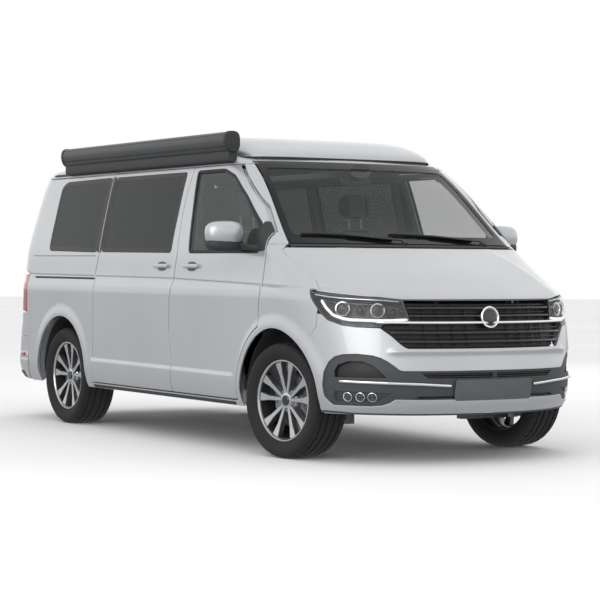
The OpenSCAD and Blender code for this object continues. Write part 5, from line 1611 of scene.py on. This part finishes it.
rear_low = SILL_Z + 12
bump_z = TAILGATE_Z - GAP - 3
b_out = on_side(REAR_BUMPER_Y + 6, 500)[0, 0]
bumper = np.concatenate([
    rear_centre(rear_low, bump_z, 16),
    behind(bump_z, 400, b_out)[::-1][1:],
    side_loop([[REAR_BUMPER_Y + 6, bump_z - 6], [REAR_BUMPER_Y + 6, rear_low + 6]], closed=False),
    behind(rear_low, 400, b_out)[:-1],
])


def rear_relief(p):
    """A step across the bumper and a shallow channel above the valance."""
    z = p[:, 2]
    t = np.clip((z - 452) / 30, 0, 1)
    return 6.0 * (1 - t) - 5.0 * np.exp(-(((z - 448) / 8) ** 2))


build("rear_bumper_skin", bumper, [], PAINT, step=22, relief=rear_relief, joined=True, thick=24,
      replaces=["rear_bumper"])
strip("rear_step_cover", behind(bump_z + 1, 300, on_end(700, bump_z, False)[0, 0]), 20, 16, TRIM, lift=-6,
      ends=False)
strip("rear_valance", behind(322, 300, b_out + 60), 60, 12, GREY_TRIM, lift=2)
strip("rear_reflector", on_side_line(2085, 2160, 470, n=10), 28, 8, RED_LENS, lift=4)
rear_plate = np.concatenate([rear_centre(742, 858, 6),
                             tail_edge([(14, 858), (252, 858), (262, 848), (262, 752), (252, 742),
                                        (14, 742)])])
build("rear_plate", rear_plate, [], BLANK, "rear_hatch", step=40, joined=True, depth=2, thick=5, roll=1)
strip("tailgate_grip", tail_edge([(-290, 886), (290, 886)]), 26, 22, PAINT, lift=2, mirror=False,
      body="rear_hatch")
strip("high_brake_light", tail_edge([(-170, 1722), (170, 1722)]), 20, 8, RED_LENS, lift=2, mirror=False,
      body="rear_hatch")
strip("rear_wiper", tail_edge([(-40, 1262), (420, 1284)]), 12, 14, TRIM, lift=12, mirror=False,
      body="rear_hatch")
p, n = surface_at(0, 1260, False)
lathe("rear_wiper_pivot", [(24, -6), (25, 12), (20, 20), (8, 22), (2, 22.5)], p, n, TRIM, 28, "rear_hatch")
strip("rear_spoiler", behind(RAIL_Z + 26, 300, on_end(640, RAIL_Z + 26, False)[0, 0]), 34, 26, PAINT, lift=4,
      ends=False)


# ---------------------------------------------------------------- cabin
def stuffed(name, size, power=3.4, bolster=0.0, cap=12, voxel=0.011):
    """A sewn pad about the origin, its show side up: a crowned form blown out as cloth.

    Each point moves by less than cap millimetres.
    """
    rx, ry, rz = size
    u = np.linspace(-np.pi, np.pi, 64, endpoint=False)
    v = np.linspace(-np.pi / 2, np.pi / 2, 34)[1:-1]
    sq = lambda a: np.sign(a) * np.abs(a) ** (2 / power)
    cv, sv = sq(np.cos(v))[:, None], sq(np.sin(v))[:, None]
    x, y, z = rx * sq(np.cos(u)) * cv, ry * sq(np.sin(u)) * cv, rz * sv * np.ones(len(u))
    t = np.clip((np.abs(x) / rx - 0.56) / 0.22, 0, 1)
    z = z + bolster * t * t * (3 - 2 * t) * (z > 0) * np.clip(z / rz, 0, 1)
    z = np.where((z > 0) & (t < 0.5),
                 z - 5.0 * np.exp(-(((np.abs(x) / rx - 0.56) / 0.05) ** 2)) * np.clip(z / rz, 0, 1), z)
    p = np.concatenate([np.stack([x, y, z], -1).reshape(-1, 3), [[0, 0, -rz], [0, 0, rz]]])
    k, m = len(u), len(v)
    f = tube(m, k, False)
    f += [(k * m, (j + 1) % k, j)
          for j in range(k)] + [(k * m + 1, (m - 1) * k + j, (m - 1) * k + (j + 1) % k) for j in range(k)]
    me = bpy.data.meshes.new(name)
    me.from_pydata([tuple(q) for q in p * 0.001], [], f)
    ob = bpy.data.objects.new(name, me)
    bpy.context.scene.collection.objects.link(ob)
    mod = ob.modifiers.new("even", "REMESH")
    mod.mode = "VOXEL"
    mod.voxel_size = voxel
    bpy.context.view_layer.update()
    even = bpy.data.meshes.new_from_object(ob.evaluated_get(bpy.context.evaluated_depsgraph_get()))
    ob.modifiers.clear()
    ob.data = even
    start = np.array([q.co[:] for q in even.vertices])
    cloth = ob.modifiers.new("blown", "CLOTH")
    cloth.settings.use_pressure = True
    cloth.settings.uniform_pressure_force = 4.0
    cloth.settings.effector_weights.gravity = 0.0
    for n in range(1, 21):
        bpy.context.scene.frame_set(n)
    blown = bpy.data.meshes.new_from_object(ob.evaluated_get(bpy.context.evaluated_depsgraph_get()))
    move = np.array([q.co[:] for q in blown.vertices]) - start
    far = np.linalg.norm(move, axis=1)[:, None] + 1e-12
    move *= np.minimum(far, cap * 0.001) / far
    ob.modifiers.clear()
    even.vertices.foreach_set("co", (start + move).ravel())
    bpy.context.scene.frame_set(1)
    me = even
    bpy.data.objects.remove(ob)
    me.materials.clear()
    me.materials.append(FABRIC)
    me.materials.append(FABRIC_LIGHT)
    me.update()
    for q in me.polygons:
        c = q.center * 1000
        q.use_smooth = True
        q.material_index = int(abs(c.x) < 0.54 * rx and abs(c.y) < 0.86 * ry and c.z > 0.2 * rz)
    return me


def put_pad(name, me, place, lean):
    """A copy of a pad: lean 0 lies flat and 90 stands with its show side forwards."""
    ob = bpy.data.objects.new(name, me.copy())
    bpy.context.scene.collection.objects.link(ob)
    ob.matrix_world = Matrix.Translation(Vector(place) * 0.001) @ Matrix.Rotation(math.radians(lean), 4, "X")
    bpy.context.view_layer.update()
    ob.data.transform(ob.matrix_world)
    ob.matrix_world = Matrix.Identity(4)
    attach(ob, "root")
    return ob


SEAT_Y, BENCH_Y, FLOOR = AXLE_F + 900, AXLE_R - 640, 440
pads = {
    "cushion": stuffed("pad_cushion", (232, 262, 62), bolster=14),
    "back": stuffed("pad_back", (222, 322, 50), bolster=14),
    "headrest": stuffed("pad_headrest", (122, 84, 36), 2.8, voxel=0.009, cap=8),
    "bench_cushion": stuffed("pad_bench_cushion", (224, 262, 64), 4.0, bolster=8),
    "bench_back": stuffed("pad_bench_back", (222, 268, 46), 4.0, bolster=8),
}
for side, tag in SIDES:
    x = side * 420
    ob = put_pad(f"seat_{tag}_cushion", pads["cushion"], (x, SEAT_Y - 10, 762), -3)
    if side > 0:
        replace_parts(ob, "front_seats")
    put_pad(f"seat_{tag}_back", pads["back"], (x, SEAT_Y + 268, 1082), 90 - 12.7)
    put_pad(f"seat_{tag}_headrest", pads["headrest"], (x, SEAT_Y + 358, 1536), 84)
    for k in (-48, 48):
        lathe(f"seat_{tag}_post_{k + 48}", [(6.5, 0), (6.5, 120)], (x + k, SEAT_Y + 344, 1372), (0, 0.1, 1),
              STEEL, 16)
    loft(f"seat_{tag}_base", [[[x + a * w, SEAT_Y + 15 + b * w, z] for a, b in oval(188, 200, 6, 36)]
                              for z, w in ((FLOOR + 3, 1.0), (FLOOR + 26, 1.0), (FLOOR + 60, 0.9),
                                           (FLOOR + 230, 0.86), (FLOOR + 262, 1.0))], TRIM)
    loft(f"seat_{tag}_side",
         [[[x + side * (228 + dx), SEAT_Y + 40 + a * w, 760 + b * w] for a, b in oval(170, 44, 3.4, 32)]
          for dx, w in ((0, 1), (14, 1), (20, 0.88))], TRIM, sharp=30)
for k, x in enumerate((-130 + 242.5, -130 - 242.5)):
    ob = put_pad(f"bench_cushion_{k}", pads["bench_cushion"], (x, BENCH_Y + 292, FLOOR + 326), -3)
    if k == 0:
        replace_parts(ob, "rear_bench")
    put_pad(f"bench_back_{k}", pads["bench_back"], (x, BENCH_Y + 618, FLOOR + 590), 90 - 12)
    put_pad(f"bench_headrest_{k}", pads["headrest"], (x, BENCH_Y + 700, FLOOR + 965), 86)
    for dx in (-44, 44):
        lathe(f"bench_post_{k}_{dx + 44}", [(6.5, 0), (6.5, 90)], (x + dx, BENCH_Y + 690, FLOOR + 826),
              (0, 0.1, 1), STEEL, 16)
loft("bench_base", [[[-130 + a * w, BENCH_Y + 300 + b * w, z] for a, b in oval(470, 236, 8, 40)]
                    for z, w in ((FLOOR + 3, 1.0), (FLOOR + 30, 1.0), (FLOOR + 60, 0.94), (FLOOR + 258, 0.94),
                                 (FLOOR + 262, 0.92))], TRIM)

dash_outline = soften([[-1310, 900], [-1310, 1200], [-1252, 1236], [-1130, 1226], [-1016, 1192], [-990, 1120],
                       [-1012, 1010], [-1090, 900]], 34, 5)
slices = []
for x in np.linspace(-792, 792, 67):
    hood = 42 * math.exp(-(((x - 420) / 152) ** 6))
    vent = 6 * math.exp(-(((abs(x) - 640) / 70) ** 4))
    row = []
    for y, z in dash_outline:
        up = max(0.0, min(1.0, (y + 1170) / 60)) * max(0.0, min(1.0, (z - 1150) / 50))
        row.append([x, y + up * hood * 0.3 - vent * (y > -1020), z + up * hood - 10 * (abs(x) / 792) ** 4])
    slices.append(row)
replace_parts(loft("dashboard_top", slices, DASH, sharp=50), "dashboard")
loft("dashboard_trim", [[[x, -1010 + a, 1128 + b + 0.3 * a] for a, b in oval(20, 15, 3, 20)]
                        for x in np.linspace(-770, 770, 40)], CHROME)
loft("centre_screen", [[[x * w, -1004 + dy, 1176 + z * w] for x, z in oval(128, 68, 6, 36)]
                       for dy, w in ((0, 1), (16, 1), (19, 0.97))], GLOSS_BLACK)
loft("instrument_hood", [[[420 + x * w, -1030 + dy, 1216 + z * w] for x, z in oval(150, 34, 3, 36)]
                         for dy, w in ((0, 0.9), (34, 1), (38, 0.92))], GLOSS_BLACK)
loft("centre_console", [[[x * w, y, 800 + z * w] for x, z in oval(96, 250, 6, 36)]
                        for y, w in ((-1250, 1), (-1080, 0.98), (-1010, 0.9), (-996, 0.8))], DASH)
lathe("gear_lever", [(26, 0), (20, 16), (9, 30), (8, 92), (20, 104), (24, 124), (18, 142), (2, 148)],
      (30, -1000, 1000), (0, 0.75, 0.66), TRIM, 28)

tilt = math.radians(62)
hand_axis = (0, math.sin(tilt), math.cos(tilt))
hand_at = np.array([420, DASH_Y + 440, COWL_Z - 78])
a, u, w = basis(hand_axis)
t = np.linspace(0, 2 * np.pi, 18, endpoint=False)
grip = finish_of("wheel_leather", (0.03, 0.03, 0.032), 0.5, grain=(500, 0.0006))
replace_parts(lathe("hand_wheel_rim", np.stack([175 + 14 * np.cos(t), 15 * np.sin(t)], 1), hand_at, hand_axis,
                  grip, 96, "hand_wheel", True, 60), "steering_wheel")
lathe("hand_wheel_pad", [(64, -34), (70, -22), (70, -2), (62, 8), (40, 13), (2, 15)], hand_at, hand_axis,
      grip, 56, "hand_wheel")
lathe("hand_wheel_ring", [(26, 10), (30, 13), (26, 16), (2, 16)], hand_at, hand_axis, CHROME, 40,
      "hand_wheel")
for k, way in enumerate((u, -u, w)):
    cross = np.cross(a, way)
    loft(f"hand_wheel_spoke_{k}",
         [[list(hand_at + way * r + cross * p * h + a * (q * 0.5 - d)) for p, q in oval(20, 13, 3, 20)]
          for r, h, d in ((52, 1.25, 6), (110, 0.8, 3), (166, 0.95, 0))],
         CHROME if k == 2 else grip, "hand_wheel")

mat_loop = soften([[-470, -1290], [-470, -1060], [-800, -1000], [-800, 2080], [800, 2080], [800, -1000],
                   [470, -1060], [470, -1290]], 90)
level_plate("floor_mat", resample(mat_loop, 80), FLOOR + 7.0, CARPET, 160, 6, 2, joined=False)
level_plate("headliner", np.concatenate([edge * [0.93, 0.985], hatch]), ROOF_Z - 26.0, LIGHT_TRIM, 90, 8, 1)

# cupboards along the left wall: fronts and handles over the CAD unit
unit_low, unit_high = (np.array(q) * 1000 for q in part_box("kitchen_unit"))
doors = 4
for k in range(doors):
    y = unit_low[1] + (k + 0.5) * (unit_high[1] - unit_low[1]) / doors
    half = (unit_high[1] - unit_low[1]) / doors / 2 - 6
    for part, z, hz in (("low", unit_low[2] + 200, 150), ("high", unit_low[2] + 430, 60)):
        loft(f"cupboard_{part}_{k}",
             [[[unit_low[0] - dx, y + q * w, z + r * w] for q, r in oval(half, hz, 12, 32)]
              for dx, w in ((-2, 1), (8, 1), (10, 0.985))], OAK)
        lathe(f"cupboard_knob_{part}_{k}", [(7, 0), (7, 8), (13, 12), (13, 18), (3, 20)],
              (unit_low[0] - 9, y, z + hz - 26), (-1, 0, 0), STEEL, 20)
